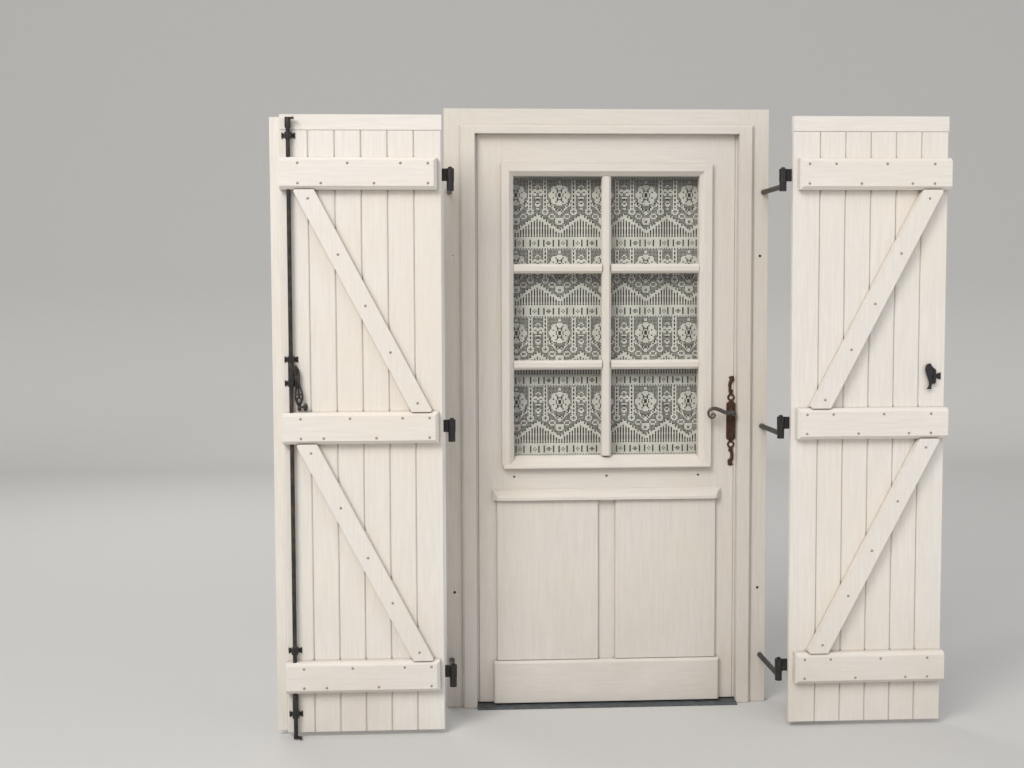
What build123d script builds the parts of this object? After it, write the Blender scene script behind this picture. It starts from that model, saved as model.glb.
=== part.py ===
"""Half-glazed entrance door in its frame, with a pair of ledged and braced board shutters.

Sizes are in millimetres. X runs along the wall, +Y goes into the house and +Z is up.
The origin is the middle of the threshold's underside, in the plane of the frame's street face.
The leaf is shut and the two shutters stand open, as if folded back flat against the wall.
Pieces that come in pairs are drawn on the right of the door and mirrored for the left.
"""

from math import atan2, cos, pi, sin

from build123d import *
import os

os.makedirs("parts", exist_ok=True)

RIGHT, LEFT = 1, -1
SIDES = (("left", LEFT), ("right", RIGHT))
up = (Align.CENTER, Align.CENTER, Align.MIN)

# Frame
clear_width = 940.0
clear_height = 2051.0
stop_depth = 30.0
stop_lap = 12.0
stop_gap = 1.0
leaf_gap = 3.0
leaf_thick = 44.0
jamb_face = 51.0
head_face = 30.0
flange_width = 57.0
flange_step = 15.0
face_chamfer = 7.0
fixing_bore = 10.0
fixing_low = 420.0
fixing_rise = 1200.0

# Threshold
threshold_thick = 8.0
threshold_nose = 26.0

# Leaf
leaf_bottom = 14.0
stile_width = 110.0
top_rail_height = 120.0
lock_rail_top = 872.0
lock_rail_height = 190.0
bottom_rail_height = 190.0
muntin_width = 84.0
quirk_inset = 9.0
quirk = 2.0

# Glazing
sight_width = 666.0
casing_lap = 4.5
casing_proud = 17.0
casing_flat = 27.0
bar_width = 33.0
bar_proud = 3.0
bar_web = 12.0
pane_thick = 4.0
pane_bite = 8.0
bead_thick = 10.0
glass_set = 19.0
sill_proud = 29.0
sill_nose = 8.0
sill_drop = 34.0
weep_bore = 8.0
weep_below = 39.0

# Panels, drip moulding and plinth
panel_proud = 12.0
panel_side_lap = 24.0
panel_muntin_lap = 11.0
panel_fit = 1.0
panel_back = 14.0
panel_edge = 4.0
drip_half = 411.0
drip_top = 788.0
drip_height = 38.0
drip_proud = 29.0
plinth_half = 409.0
plinth_top = 166.0
plinth_proud = 23.0
plinth_edge = 9.0

# Leaf hinges
hinge_pin = 8.0
hinge_knuckle = 14.0
hinge_height = 110.0
hinge_plate = 3.0
hinge_plate_width = 36.0
hinge_levels = (240.0, 1040.0, 1840.0)
running_gap = 0.06
end_gap = 0.4

# Lock and levers
lock_backset = 31.0
lever_level = 1058.0
latch_rise = 24.0
key_drop = 78.0
bolt_thick = 12.0
latch_height = 20.0
latch_throw = 11.0
deadbolt_height = 32.0
deadbolt_throw = 18.0
deadbolt_rise = 22.0
bolt_length = 40.0
slide_gap = 0.5
case_thick = 17.0
case_width = 60.0
case_height = 200.0
case_rise = 10.0
strike_thick = 2.0
strike_border = 20.0
forend_thick = 2.0
forend_width = 24.0
spindle_side = 8.0
plate_thick = 3.0
plate_width = 33.0
plate_height = 139.0
lever_above_plate = 30.5
ring_outer = 27.0
ring_inner = 14.0
finial_height = 64.0
finial_lobe = 3.6
keyhole_round = 8.0
keyhole_slot = 5.4
keyhole_drop = 14.0
lever_collar = 22.0
lever_neck = 12.0
arm_run = 62.0
arm_rise = 10.0
lever_stand = 42.0
lever_wire = 9.0
curl_outer = 15.0
curl_inner = 8.0
curl_turn = 220.0

# Lace curtain on two rods
curtain_thick = 1.4
curtain_wave = 4.0
curtain_waves = 8
curtain_side = 22.0
curtain_stand = 16.0
rod_bore = 8.0
pocket_gap = 0.3
eyelet_width = 7.0
eyelet_height = 20.0
eyelets_across = 14
lace_repeat = 249.0
lace_bands = 4

# Shutters
axis_half = 560.0
axis_stand = 262.0
strap_thick = 5.0
strap_height = 42.0
strap_length = 430.0
eye_outer = 26.0
pin_bore = 14.0
hang_gap = 28.0
meeting_gap = 4.0
shutter_bottom = 18.0
shutter_height = 2060.0
header_height = 52.0
board_thick = 27.0
board_count = 6
edge_board = 92.0
board_joint = 0.5
board_chamfer = 4.0
tongue = 8.0
tongue_thick = 7.0
tongue_gap = 0.4
ledge_levels = (210.0, 1047.0, 1884.0)
ledge_height = 105.0
ledge_thick = 36.0
ledge_chamfer = 11.0
ledge_hinge_inset = 16.0
brace_width = 62.0
brace_thick = 34.0
brace_clip = 7.0
brace_insets = {LEFT: (77.0, 70.0), RIGHT: (60.0, 92.0)}
batten_width = 70.0
batten_proud = 36.0
batten_thick = 14.0
batten_relief = 0.6
batten_short = 6.0
nail_head = 9.0
nail_dome = 1.8
nail_shank = 3.5
nail_length = 24.0
screw_head = 11.0
screw_length = 20.0

# Pintles
base_height = 32.0
base_round = 24.0
shank_round = 18.0
shank_seat = 30.0
pin_above = 6.0

# Espagnolette
rod_round = 14.0
rod_inset = 29.0
rod_stand = 18.0
rod_low = 3.0
rod_top_short = 12.0
guide_levels = (82.0, 299.0, 1196.0, 1275.0, 2008.0)
guide_height = 20.0
guide_wing = 45.0
guide_plate = 3.0
guide_wall = 4.0
sleeve_round = 19.0
handle_thick = 6.0
handle_pivot_side = 14.0
handle_pivot_below = 17.0
handle_pin = 6.0
handle_eye = 15.0
handle_width = 27.0
handle_clear = 5.0
handle_knob = 9.0
claw_thick = 6.0
claw_reach = 20.0
catch_level = 1205.0
catch_height = 88.0
catch_inset = 42.0
catch_width = 30.0
catch_plate = 4.0
catch_stand = 11.0
catch_pin = 6.0

# Places worked out from the sizes above
stop_half = clear_width / 2
frame_depth = stop_depth + stop_gap + leaf_thick
leaf_half = stop_half + stop_lap
leaf_top = clear_height + stop_lap
rebate_half = leaf_half + leaf_gap
rebate_top = leaf_top + leaf_gap
frame_half = stop_half + jamb_face + flange_width
frame_top = clear_height + head_face + flange_width
leaf_front = stop_depth + stop_gap
leaf_back = frame_depth
opening_half = leaf_half - stile_width
panel_opening_low = leaf_bottom + bottom_rail_height
panel_opening_high = lock_rail_top - lock_rail_height
sight_half = sight_width / 2
glass_front = leaf_front + glass_set
glass_back = glass_front + pane_thick
opening_top = leaf_top - top_rail_height
casing_width = opening_half - sight_half + casing_lap
sight_top = opening_top - (opening_half - sight_half)
sight_bottom = lock_rail_top + sill_drop
pane_width = (sight_width - bar_width) / 2
pane_height = (sight_top - sight_bottom - 2 * bar_width) / 3
plate_level = lever_level - lever_above_plate
back_y = -axis_stand - strap_thick / 2
face_y = back_y - board_thick
hinge_edge = axis_half + hang_gap
shutter_width = axis_half - hang_gap - meeting_gap / 2
meeting_edge = hinge_edge + shutter_width
shutter_top = shutter_bottom + shutter_height
inner_board = (shutter_width - 2 * edge_board) / (board_count - 2)
rod_x = meeting_edge - rod_inset
rod_y = face_y - rod_stand
lever_x = leaf_half - lock_backset
bolt_y = (leaf_front + leaf_back) / 2
latch_level = lever_level + latch_rise
key_level = lever_level - key_drop
fixing_x = stop_half + jamb_face + flange_width / 2
deadbolt_level = key_level + deadbolt_rise
strike_low_y = bolt_y - bolt_thick / 2 - strike_border / 2
strike_low = deadbolt_level - deadbolt_height / 2 - strike_border
strike_high = latch_level + latch_height / 2 + strike_border
strike_height = strike_high - strike_low
strike_level = (strike_high + strike_low) / 2
case_mid = (lever_level + key_level) / 2 + case_rise
case_x = leaf_half - forend_thick - case_width / 2
pin_radius = pin_bore / 2 - running_gap
eye_low = [level - strap_height / 2 for level in ledge_levels]
shank_levels = [low - end_gap - base_height / 2 for low in eye_low]


def on_side(piece, side):
    """The piece where it stands on its side of the door."""
    return piece if side == RIGHT else mirror(piece, about=Plane.YZ)


def from_front(y):
    """The upright plane at depth y, seen from the street: its normal points to the viewer."""
    return Plane.XZ.offset(-y)


# Frame: two jambs, the head between them and the threshold
def frame_jamb(side):
    with BuildPart() as jamb:
        with BuildSketch(Plane.XY):
            with BuildLine():
                Polyline(
                    (stop_half, 0),
                    (stop_half + jamb_face, 0),
                    (stop_half + jamb_face, flange_step),
                    (frame_half, flange_step),
                    (frame_half, frame_depth),
                    (rebate_half, frame_depth),
                    (rebate_half, stop_depth),
                    (stop_half, stop_depth),
                    close=True,
                )
            make_face()
        extrude(amount=frame_top)
        with BuildSketch(from_front(0)):
            with Locations((stop_half, clear_height + head_face)):
                Rectangle(jamb_face * 2, flange_width * 2, align=(Align.CENTER, Align.MIN))
        extrude(amount=-flange_step, mode=Mode.SUBTRACT)
        face = jamb.faces().sort_by(Axis.Y)[0]
        outer = face.edges().sort_by(Axis.X)[-1]
        upper = face.edges().sort_by(Axis.Z)[-1]
        chamfer([outer, upper], length=face_chamfer)
        with BuildSketch(from_front(flange_step)):
            with Locations(*[(axis_half, level) for level in shank_levels]):
                Circle(shank_round / 2)
        extrude(amount=-shank_seat, mode=Mode.SUBTRACT)
        with BuildSketch(from_front(flange_step)):
            with Locations(*[(fixing_x, z) for z in (fixing_low, fixing_low + fixing_rise)]):
                Circle(fixing_bore / 2)
        extrude(amount=-frame_depth, mode=Mode.SUBTRACT)
        if side == RIGHT:
            with BuildSketch(Plane.YZ.offset(rebate_half)):
                with Locations(((strike_low_y + frame_depth) / 2, strike_level)):
                    Rectangle(frame_depth - strike_low_y, strike_height)
            extrude(amount=strike_thick, mode=Mode.SUBTRACT)
            with BuildSketch(Plane.YZ.offset(rebate_half)):
                with Locations((bolt_y - bolt_thick / 2 - 2, latch_level)):
                    Rectangle(frame_depth, latch_height + 5, align=(Align.MIN, Align.CENTER))
            extrude(amount=latch_throw + 3, mode=Mode.SUBTRACT)
            with BuildSketch(Plane.YZ.offset(rebate_half)):
                with Locations((bolt_y, deadbolt_level)):
                    Rectangle(bolt_thick + 3, deadbolt_height + 3)
            extrude(amount=deadbolt_throw + 3, mode=Mode.SUBTRACT)
    return on_side(jamb.part, side)


for side_name, side in SIDES:
    jamb = frame_jamb(side)
    jamb.label = f"frame_{side_name}_jamb"
    export_step(jamb, f"parts/frame_{side_name}_jamb.step")

with BuildPart() as frame_head:
    with BuildSketch(Plane.YZ):
        with BuildLine():
            Polyline(
                (0, clear_height),
                (0, clear_height + head_face),
                (flange_step, clear_height + head_face),
                (flange_step, frame_top),
                (stop_depth, frame_top),
                (stop_depth, clear_height),
                close=True,
            )
        make_face()
    extrude(amount=stop_half, both=True)
    chamfer(frame_head.faces().sort_by(Axis.Y)[0].edges().sort_by(Axis.Z)[-1], length=face_chamfer)
    with BuildSketch(Plane.YZ):
        with Locations((stop_depth, rebate_top)):
            Rectangle(frame_depth - stop_depth, frame_top - rebate_top, align=(Align.MIN, Align.MIN))
    extrude(amount=rebate_half, both=True)
frame_head.part.label = "frame_head"
export_step(frame_head.part, "parts/frame_head.step")

with BuildPart() as threshold:
    with BuildSketch(Plane.YZ):
        with BuildLine():
            Polyline(
                (-threshold_nose, 0),
                (-threshold_nose, threshold_thick - 3),
                (stop_depth, threshold_thick),
                (stop_depth, 0),
                close=True,
            )
        make_face()
    extrude(amount=stop_half, both=True)
    nose = threshold.faces().sort_by(Axis.Y)[0].edges().sort_by(Axis.Z)[-1]
    fillet(nose, radius=2.5)
    with BuildSketch(Plane.YZ):
        with Locations((stop_depth, 0)):
            Rectangle(leaf_back - stop_depth, threshold_thick, align=(Align.MIN, Align.MIN))
    extrude(amount=rebate_half, both=True)
threshold.part.label = "threshold"
export_step(threshold.part, "parts/threshold.step")

with BuildPart() as strike_plate:
    with BuildSketch(Plane.YZ.offset(rebate_half)):
        with Locations(((strike_low_y + frame_depth) / 2, strike_level)):
            Rectangle(frame_depth - strike_low_y, strike_height)
        with Locations((bolt_y - bolt_thick / 2 - 1, latch_level)):
            Rectangle(frame_depth, latch_height + 3, align=(Align.MIN, Align.CENTER), mode=Mode.SUBTRACT)
        with Locations((bolt_y, deadbolt_level)):
            Rectangle(bolt_thick + 2, deadbolt_height + 2, mode=Mode.SUBTRACT)
    extrude(amount=strike_thick)
strike_plate.part.label = "strike_plate"
export_step(strike_plate.part, "parts/strike_plate.step")


# Leaf: stiles, rails and muntin
with BuildPart() as hinge_stile:
    with BuildSketch(Plane.XY.offset(leaf_bottom)):
        with Locations((-leaf_half, leaf_front)):
            Rectangle(stile_width, leaf_thick, align=(Align.MIN, Align.MIN))
    extrude(amount=leaf_top - leaf_bottom)
    with Locations((quirk_inset - stop_half, leaf_front, leaf_bottom)):
        Box(quirk, quirk * 2, leaf_top, align=up, mode=Mode.SUBTRACT)
hinge_stile.part.label = "hinge_stile"
export_step(hinge_stile.part, "parts/hinge_stile.step")

with BuildPart() as lock_stile:
    with BuildSketch(Plane.XY.offset(leaf_bottom)):
        with Locations((leaf_half, leaf_front)):
            Rectangle(stile_width, leaf_thick, align=(Align.MAX, Align.MIN))
    extrude(amount=leaf_top - leaf_bottom)
    with Locations((stop_half - quirk_inset, leaf_front, leaf_bottom)):
        Box(quirk, quirk * 2, leaf_top, align=up, mode=Mode.SUBTRACT)
    with Locations((case_x, bolt_y, case_mid)):
        Box(case_width, case_thick, case_height, mode=Mode.SUBTRACT)
    with Locations((leaf_half, bolt_y, case_mid)):
        Box(forend_thick * 2, forend_width, case_height + 40, mode=Mode.SUBTRACT)
    with BuildSketch(from_front(leaf_front)):
        with Locations((lever_x, lever_level)):
            Circle(spindle_side * 0.8)
        with Locations((lever_x, key_level)):
            Circle(keyhole_round / 2)
            Rectangle(keyhole_slot, keyhole_drop, align=(Align.CENTER, Align.MAX))
    extrude(amount=-leaf_thick, mode=Mode.SUBTRACT)
lock_stile.part.label = "lock_stile"
export_step(lock_stile.part, "parts/lock_stile.step")

with BuildPart() as top_rail:
    with BuildSketch(from_front(leaf_front)):
        with Locations((0, leaf_top)):
            Rectangle(2 * opening_half, top_rail_height, align=(Align.CENTER, Align.MAX))
    extrude(amount=-leaf_thick)
top_rail.part.label = "top_rail"
export_step(top_rail.part, "parts/top_rail.step")

weep_xs = (-sight_half, 0, sight_half)

with BuildPart() as lock_rail:
    with BuildSketch(from_front(leaf_front)):
        with Locations((0, lock_rail_top)):
            Rectangle(2 * opening_half, lock_rail_height, align=(Align.CENTER, Align.MAX))
        with Locations(*[(x, lock_rail_top - weep_below) for x in weep_xs]):
            Circle(weep_bore / 2, mode=Mode.SUBTRACT)
    extrude(amount=-leaf_thick)
lock_rail.part.label = "lock_rail"
export_step(lock_rail.part, "parts/lock_rail.step")

with BuildPart() as bottom_rail:
    with BuildSketch(from_front(leaf_front)):
        with Locations((0, leaf_bottom)):
            Rectangle(2 * opening_half, bottom_rail_height, align=(Align.CENTER, Align.MIN))
    extrude(amount=-leaf_thick)
bottom_rail.part.label = "bottom_rail"
export_step(bottom_rail.part, "parts/bottom_rail.step")

with BuildPart() as lower_muntin:
    with BuildSketch(from_front(leaf_front)):
        with Locations((0, panel_opening_low)):
            Rectangle(muntin_width, panel_opening_high - panel_opening_low, align=(Align.CENTER, Align.MIN))
    extrude(amount=-leaf_thick)
lower_muntin.part.label = "lower_muntin"
export_step(lower_muntin.part, "parts/lower_muntin.step")


# Raised panels: a proud field that laps the framing, with a plug that fills the opening behind it
def raised_panel(side):
    field_in = muntin_width / 2 - panel_muntin_lap
    field_out = opening_half + panel_side_lap
    plug_in = muntin_width / 2 + panel_fit
    plug_out = opening_half - panel_fit
    with BuildPart() as panel:
        with BuildSketch(from_front(leaf_front)):
            with Locations((field_in, plinth_top)):
                Rectangle(
                    field_out - field_in,
                    drip_top - drip_height - plinth_top,
                    align=(Align.MIN, Align.MIN),
                )
        extrude(amount=panel_proud)
        fillet(panel.faces().sort_by(Axis.Y)[0].edges(), radius=panel_edge)
        with BuildSketch(from_front(leaf_front)):
            with Locations((plug_in, panel_opening_low + panel_fit)):
                Rectangle(
                    plug_out - plug_in,
                    panel_opening_high - panel_opening_low - 2 * panel_fit,
                    align=(Align.MIN, Align.MIN),
                )
        extrude(amount=panel_back - leaf_thick)
        chamfer(panel.faces().sort_by(Axis.Y)[-1].edges(), length=panel_edge)
    return on_side(panel.part, side)


for side_name, side in SIDES:
    panel = raised_panel(side)
    panel.label = f"{side_name}_panel"
    export_step(panel, f"parts/{side_name}_panel.step")

with BuildPart() as plinth_board:
    with BuildSketch(from_front(leaf_front)):
        with Locations((0, leaf_bottom)):
            Rectangle(2 * plinth_half, plinth_top - leaf_bottom, align=(Align.CENTER, Align.MIN))
    extrude(amount=plinth_proud)
    front = plinth_board.faces().sort_by(Axis.Y)[0]
    chamfer(front.edges().sort_by(Axis.Z)[-1], length=plinth_edge)
    front = plinth_board.faces().sort_by(Axis.Y)[0]
    fillet(front.edges().filter_by(Axis.Z), radius=plinth_edge)
plinth_board.part.label = "plinth_board"
export_step(plinth_board.part, "parts/plinth_board.step")

# Drip moulding: an ogee-backed nosing with clipped ends and a throat under it
with BuildPart() as drip_moulding:
    low = drip_top - drip_height
    nose_y = leaf_front - drip_proud
    with BuildSketch(Plane.YZ):
        with BuildLine():
            Line((leaf_front, drip_top), (leaf_front, low))
            Line((leaf_front, low), (nose_y + 12, low))
            Line((nose_y + 12, low), (nose_y + 12, low + 3))
            Line((nose_y + 12, low + 3), (nose_y + 7, low + 3))
            Line((nose_y + 7, low + 3), (nose_y + 7, low))
            Line((nose_y + 7, low), (nose_y, low))
            Line((nose_y, low), (nose_y, low + 10))
            ThreePointArc(
                (nose_y, low + 10),
                (leaf_front - drip_proud * 0.62, drip_top - drip_height * 0.28),
                (leaf_front, drip_top),
            )
        make_face()
    extrude(amount=drip_half, both=True)
    clip = drip_proud * 0.6
    with BuildSketch(Plane.XY.offset(low)):
        for end in SIDES:
            with BuildLine():
                Polyline(
                    (end[1] * drip_half, nose_y),
                    (end[1] * (drip_half - clip), nose_y),
                    (end[1] * drip_half, nose_y + clip),
                    close=True,
                )
            make_face()
    extrude(amount=drip_height, mode=Mode.SUBTRACT)
drip_moulding.part.label = "drip_moulding"
export_step(drip_moulding.part, "parts/drip_moulding.step")

# Glazing: sill, casing, bars, panes and the beads that hold them
with BuildPart() as glazing_sill:
    sill_front = leaf_front - sill_proud
    with BuildSketch(Plane.YZ):
        with BuildLine():
            Polyline(
                (glass_back, lock_rail_top),
                (glass_back, sight_bottom - pane_bite),
                (glass_front, sight_bottom - pane_bite),
                (glass_front, sight_bottom),
                (sill_front, lock_rail_top),
                (sill_front, lock_rail_top - sill_nose),
                (leaf_front - 8, lock_rail_top - sill_nose),
                (leaf_front, lock_rail_top),
                close=True,
            )
        make_face()
    extrude(amount=opening_half, both=True)
    fillet(glazing_sill.faces().sort_by(Axis.Y)[0].edges().filter_by(Axis.X), radius=3)
glazing_sill.part.label = "glazing_sill"
export_step(glazing_sill.part, "parts/glazing_sill.step")


# The casing slopes up from the glass to a proud flat that laps the leaf
casing_section = (
    (0, glass_front),
    (0, leaf_front),
    (casing_width - casing_flat, leaf_front - casing_proud),
    (casing_width, leaf_front - casing_proud),
    (casing_width, leaf_front),
    (casing_width - casing_lap, leaf_front),
    (casing_width - casing_lap, glass_front),
)


def casing_side(side):
    corner = (sight_half, 0, sight_top)
    with BuildPart() as member:
        with BuildSketch(Plane((sight_half, 0, lock_rail_top), x_dir=(1, 0, 0), z_dir=(0, 0, 1))):
            with BuildLine():
                Polyline(*casing_section, close=True)
            make_face()
        extrude(amount=opening_top + casing_lap - lock_rail_top)
        split(bisect_by=Plane(corner, z_dir=(1, 0, -1)), keep=Keep.TOP)
        add(glazing_sill.part, mode=Mode.SUBTRACT)
    return on_side(member.part, side)


with BuildPart() as casing_head:
    reach = sight_half + casing_width
    with BuildSketch(Plane((reach, 0, sight_top), x_dir=(0, 0, 1), z_dir=(-1, 0, 0))):
        with BuildLine():
            Polyline(*casing_section, close=True)
        make_face()
    extrude(amount=2 * reach)
    split(bisect_by=Plane((sight_half, 0, sight_top), z_dir=(-1, 0, 1)), keep=Keep.TOP)
    split(bisect_by=Plane((-sight_half, 0, sight_top), z_dir=(1, 0, 1)), keep=Keep.TOP)
casing_head.part.label = "casing_head"
export_step(casing_head.part, "parts/casing_head.step")

for side_name, side in SIDES:
    casing = casing_side(side)
    casing.label = f"casing_{side_name}"
    export_step(casing, f"parts/casing_{side_name}.step")


# A glazing bar has a chamfered nose before a thin web
bar_nose = leaf_front - bar_proud
bar_slope = bar_width / 4
bar_section = (
    (-bar_width / 2, glass_front),
    (-bar_width / 2, bar_nose + bar_slope),
    (-bar_width / 2 + bar_slope, bar_nose),
    (bar_width / 2 - bar_slope, bar_nose),
    (bar_width / 2, bar_nose + bar_slope),
    (bar_width / 2, glass_front),
    (bar_web / 2, glass_front),
    (bar_web / 2, glass_back + bead_thick),
    (-bar_web / 2, glass_back + bead_thick),
    (-bar_web / 2, glass_front),
)
bar_levels = [sight_bottom + row * (pane_height + bar_width) - bar_width / 2 for row in (1, 2)]

with BuildPart() as mullion:
    with BuildSketch(Plane((0, 0, sight_bottom), x_dir=(1, 0, 0), z_dir=(0, 0, 1))):
        with BuildLine():
            Polyline(*bar_section, close=True)
        make_face()
    extrude(amount=sight_top - sight_bottom)
mullion.part.label = "mullion"
export_step(mullion.part, "parts/mullion.step")

with BuildPart() as cross_bars:
    for level in bar_levels:
        for start in (-sight_half, bar_width / 2):
            with BuildSketch(Plane((start + pane_width, 0, level), x_dir=(0, 0, 1), z_dir=(-1, 0, 0))):
                with BuildLine():
                    Polyline(*bar_section, close=True)
                make_face()
            extrude(amount=pane_width)
cross_bars.part.label = "cross_bars"
export_step(cross_bars.part, "parts/cross_bars.step")


def pane_cells():
    """The six lights, each as its side, its middle in X and its foot."""
    for side_name, side in SIDES:
        for row in range(3):
            yield side, side * (bar_width + pane_width) / 2, sight_bottom + row * (pane_height + bar_width)


with BuildPart() as glass_panes:
    for side, middle, foot in pane_cells():
        with BuildSketch(from_front(glass_front)):
            with Locations((middle, foot + pane_height / 2)):
                Rectangle(pane_width + 2 * pane_bite, pane_height + 2 * pane_bite)
        extrude(amount=-pane_thick)
glass_panes.part.label = "glass_panes"
export_step(glass_panes.part, "parts/glass_panes.step")

with BuildPart() as glazing_beads:
    for side, middle, foot in pane_cells():
        top = foot + pane_height
        low = lock_rail_top if foot == sight_bottom else foot - (bar_width - bar_web) / 2
        high = opening_top if top > sight_top - 1 else top + (bar_width - bar_web) / 2
        inner = bar_web / 2
        with BuildSketch(from_front(glass_back)):
            with Locations((side * (inner + opening_half) / 2, (low + high) / 2)):
                Rectangle(opening_half - inner - 0.4, high - low - 0.4)
            with Locations((middle, foot + pane_height / 2)):
                Rectangle(pane_width, pane_height, mode=Mode.SUBTRACT)
        extrude(amount=-bead_thick)
glazing_beads.part.label = "glazing_beads"
export_step(glazing_beads.part, "parts/glazing_beads.step")

# Curtain: a gathered lace panel on two rods behind the glass
curtain_rod_y = leaf_back + curtain_stand
curtain_y = curtain_rod_y - rod_bore / 2 - pocket_gap
curtain_half = sight_half + curtain_side
rod_levels = (lock_rail_top - curtain_side, opening_top + curtain_side)
rod_half = curtain_half + 24.0
curtain_low = rod_levels[0] - 10.0
curtain_high = rod_levels[1] + 10.0


def gather(x, offset):
    """A point of the curtain's face where it is gathered into even waves."""
    return (x, curtain_y + curtain_wave * sin(2 * pi * curtain_waves * x / (2 * curtain_half)) + offset)


with BuildPart() as lace_curtain:
    steps = curtain_waves * 8
    xs = [curtain_half * (2 * step / steps - 1) for step in range(steps + 1)]
    with BuildSketch(Plane.XY.offset(curtain_low)):
        with BuildLine():
            front_points = [gather(x, -curtain_thick / 2) for x in xs]
            back_points = [gather(x, curtain_thick / 2) for x in reversed(xs)]
            Polyline(*front_points, *back_points, close=True)
        make_face()
    extrude(amount=curtain_high - curtain_low)
    with BuildSketch(from_front(curtain_y - 2 * curtain_wave)):
        pitch = 2 * curtain_half / eyelets_across
        for band in range(lace_bands):
            with Locations((0, sight_bottom + 20 + band * lace_repeat)):
                with GridLocations(pitch, 1, eyelets_across, 1):
                    SlotOverall(eyelet_height, eyelet_width, rotation=90)
    extrude(amount=-4 * curtain_wave, mode=Mode.SUBTRACT)
    with BuildSketch(Plane.YZ):
        with Locations(*[(curtain_rod_y, level) for level in rod_levels]):
            Circle(rod_bore / 2 + pocket_gap + curtain_thick)
    extrude(amount=curtain_half, both=True)
    with BuildSketch(Plane.YZ):
        with Locations(*[(curtain_rod_y, level) for level in rod_levels]):
            Circle(rod_bore / 2 + pocket_gap)
    extrude(amount=rod_half, both=True, mode=Mode.SUBTRACT)
lace_curtain.part.label = "lace_curtain"
export_step(lace_curtain.part, "parts/lace_curtain.step")

with BuildPart() as curtain_rods:
    for level in rod_levels:
        with BuildSketch(Plane.YZ):
            with Locations((curtain_rod_y, level)):
                Circle(rod_bore / 2)
        extrude(amount=rod_half, both=True)
        for end in (-1, 1):
            with BuildSketch(from_front(leaf_back)):
                with Locations((end * (rod_half - 8), level)):
                    Circle(rod_bore * 0.9)
            extrude(amount=-2.5)
            with BuildSketch(from_front(leaf_back)):
                with Locations((end * (rod_half - 8), level)):
                    Circle(rod_bore * 0.4)
            extrude(amount=-curtain_stand)
curtain_rods.part.label = "curtain_rods"
export_step(curtain_rods.part, "parts/curtain_rods.step")

# Hinges: three butt hinges on the room side, their pins just clear of the leaf's edge
hinge_x = -leaf_half - leaf_gap / 2
hinge_y = leaf_back + hinge_knuckle / 2
knuckle_third = hinge_height / 3


def hinge_half(direction, knuckles):
    """The plates and knuckles of one side of the hinges; direction is -1 for the jamb, 1 for the leaf."""
    align = Align.MIN if direction > 0 else Align.MAX
    with BuildPart() as half:
        for level in hinge_levels:
            with BuildSketch(from_front(leaf_back)):
                with Locations((hinge_x + direction * (hinge_knuckle / 2 + 1), level)):
                    Rectangle(
                        hinge_plate_width - hinge_knuckle / 2, hinge_height, align=(align, Align.CENTER)
                    )
            extrude(amount=-hinge_plate)
            for place in knuckles:
                height = knuckle_third - (2 * end_gap if place == 0 else 0)
                with BuildSketch(Plane.XY.offset(level + place * knuckle_third - height / 2)):
                    with Locations((hinge_x, hinge_y)):
                        Circle(hinge_knuckle / 2)
                    with Locations((hinge_x, leaf_back)):
                        Rectangle(hinge_knuckle / 2 + 2, hinge_plate, align=(align, Align.MIN))
                    with Locations((hinge_x, hinge_y)):
                        Circle(hinge_pin / 2 + running_gap, mode=Mode.SUBTRACT)
                extrude(amount=height)
    return half.part


frame_hinges = hinge_half(-1, (-1, 1))
frame_hinges.label = "frame_hinges"
export_step(frame_hinges, "parts/frame_hinges.step")
leaf_hinges = hinge_half(1, (0,))
leaf_hinges.label = "leaf_hinges"
export_step(leaf_hinges, "parts/leaf_hinges.step")

with BuildPart() as hinge_pins:
    for level in hinge_levels:
        with Locations((hinge_x, hinge_y, level)):
            Cylinder(hinge_pin / 2, hinge_height + 2)
        with Locations((hinge_x, hinge_y, level + hinge_height / 2)):
            Cylinder(hinge_knuckle / 2 - 1, 4, align=(Align.CENTER, Align.CENTER, Align.MIN))
    heads = hinge_pins.faces().filter_by(lambda face: face.normal_at().Z > 0.9)
    fillet(heads.edges(), radius=0.8)
hinge_pins.part.label = "hinge_pins"
export_step(hinge_pins.part, "parts/hinge_pins.step")

# Mortise lock: the case with its forend, the sprung latch and the deadbolt
latch_tip = leaf_half + latch_throw
with BuildPart() as lock_case:
    with Locations((case_x, bolt_y, case_mid)):
        Box(case_width, case_thick, case_height)
    with Locations((leaf_half, bolt_y, case_mid)):
        Box(forend_thick, forend_width, case_height + 40, align=(Align.MAX, Align.CENTER, Align.CENTER))
    for level, height, tail in (
        (latch_level, latch_height, latch_tip - bolt_length - latch_throw),
        (deadbolt_level, deadbolt_height, leaf_half - bolt_length),
    ):
        with Locations((tail - 3, bolt_y, level)):
            Box(
                leaf_half + 1 - tail + 3,
                bolt_thick + 2 * slide_gap,
                height + 2 * slide_gap,
                align=(Align.MIN, Align.CENTER, Align.CENTER),
                mode=Mode.SUBTRACT,
            )
    with BuildSketch(from_front(leaf_front)):
        with Locations((lever_x, lever_level)):
            Circle(spindle_side * 0.8)
        with Locations((lever_x, key_level)):
            Circle(keyhole_round / 2)
            Rectangle(keyhole_slot, keyhole_drop, align=(Align.CENTER, Align.MAX))
    extrude(amount=-leaf_thick, mode=Mode.SUBTRACT)
lock_case.part.label = "lock_case"
export_step(lock_case.part, "parts/lock_case.step")

with BuildPart() as latch_bolt:
    with Locations((latch_tip, bolt_y, latch_level)):
        Box(bolt_length, bolt_thick, latch_height, align=(Align.MAX, Align.CENTER, Align.CENTER))
    ramp = latch_bolt.faces().sort_by(Axis.X)[-1].edges().sort_by(Axis.Y)[0]
    chamfer(ramp, length=bolt_thick * 0.72, length2=latch_throw * 0.85)
latch_bolt.part.label = "latch_bolt"
export_step(latch_bolt.part, "parts/latch_bolt.step")

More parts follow.
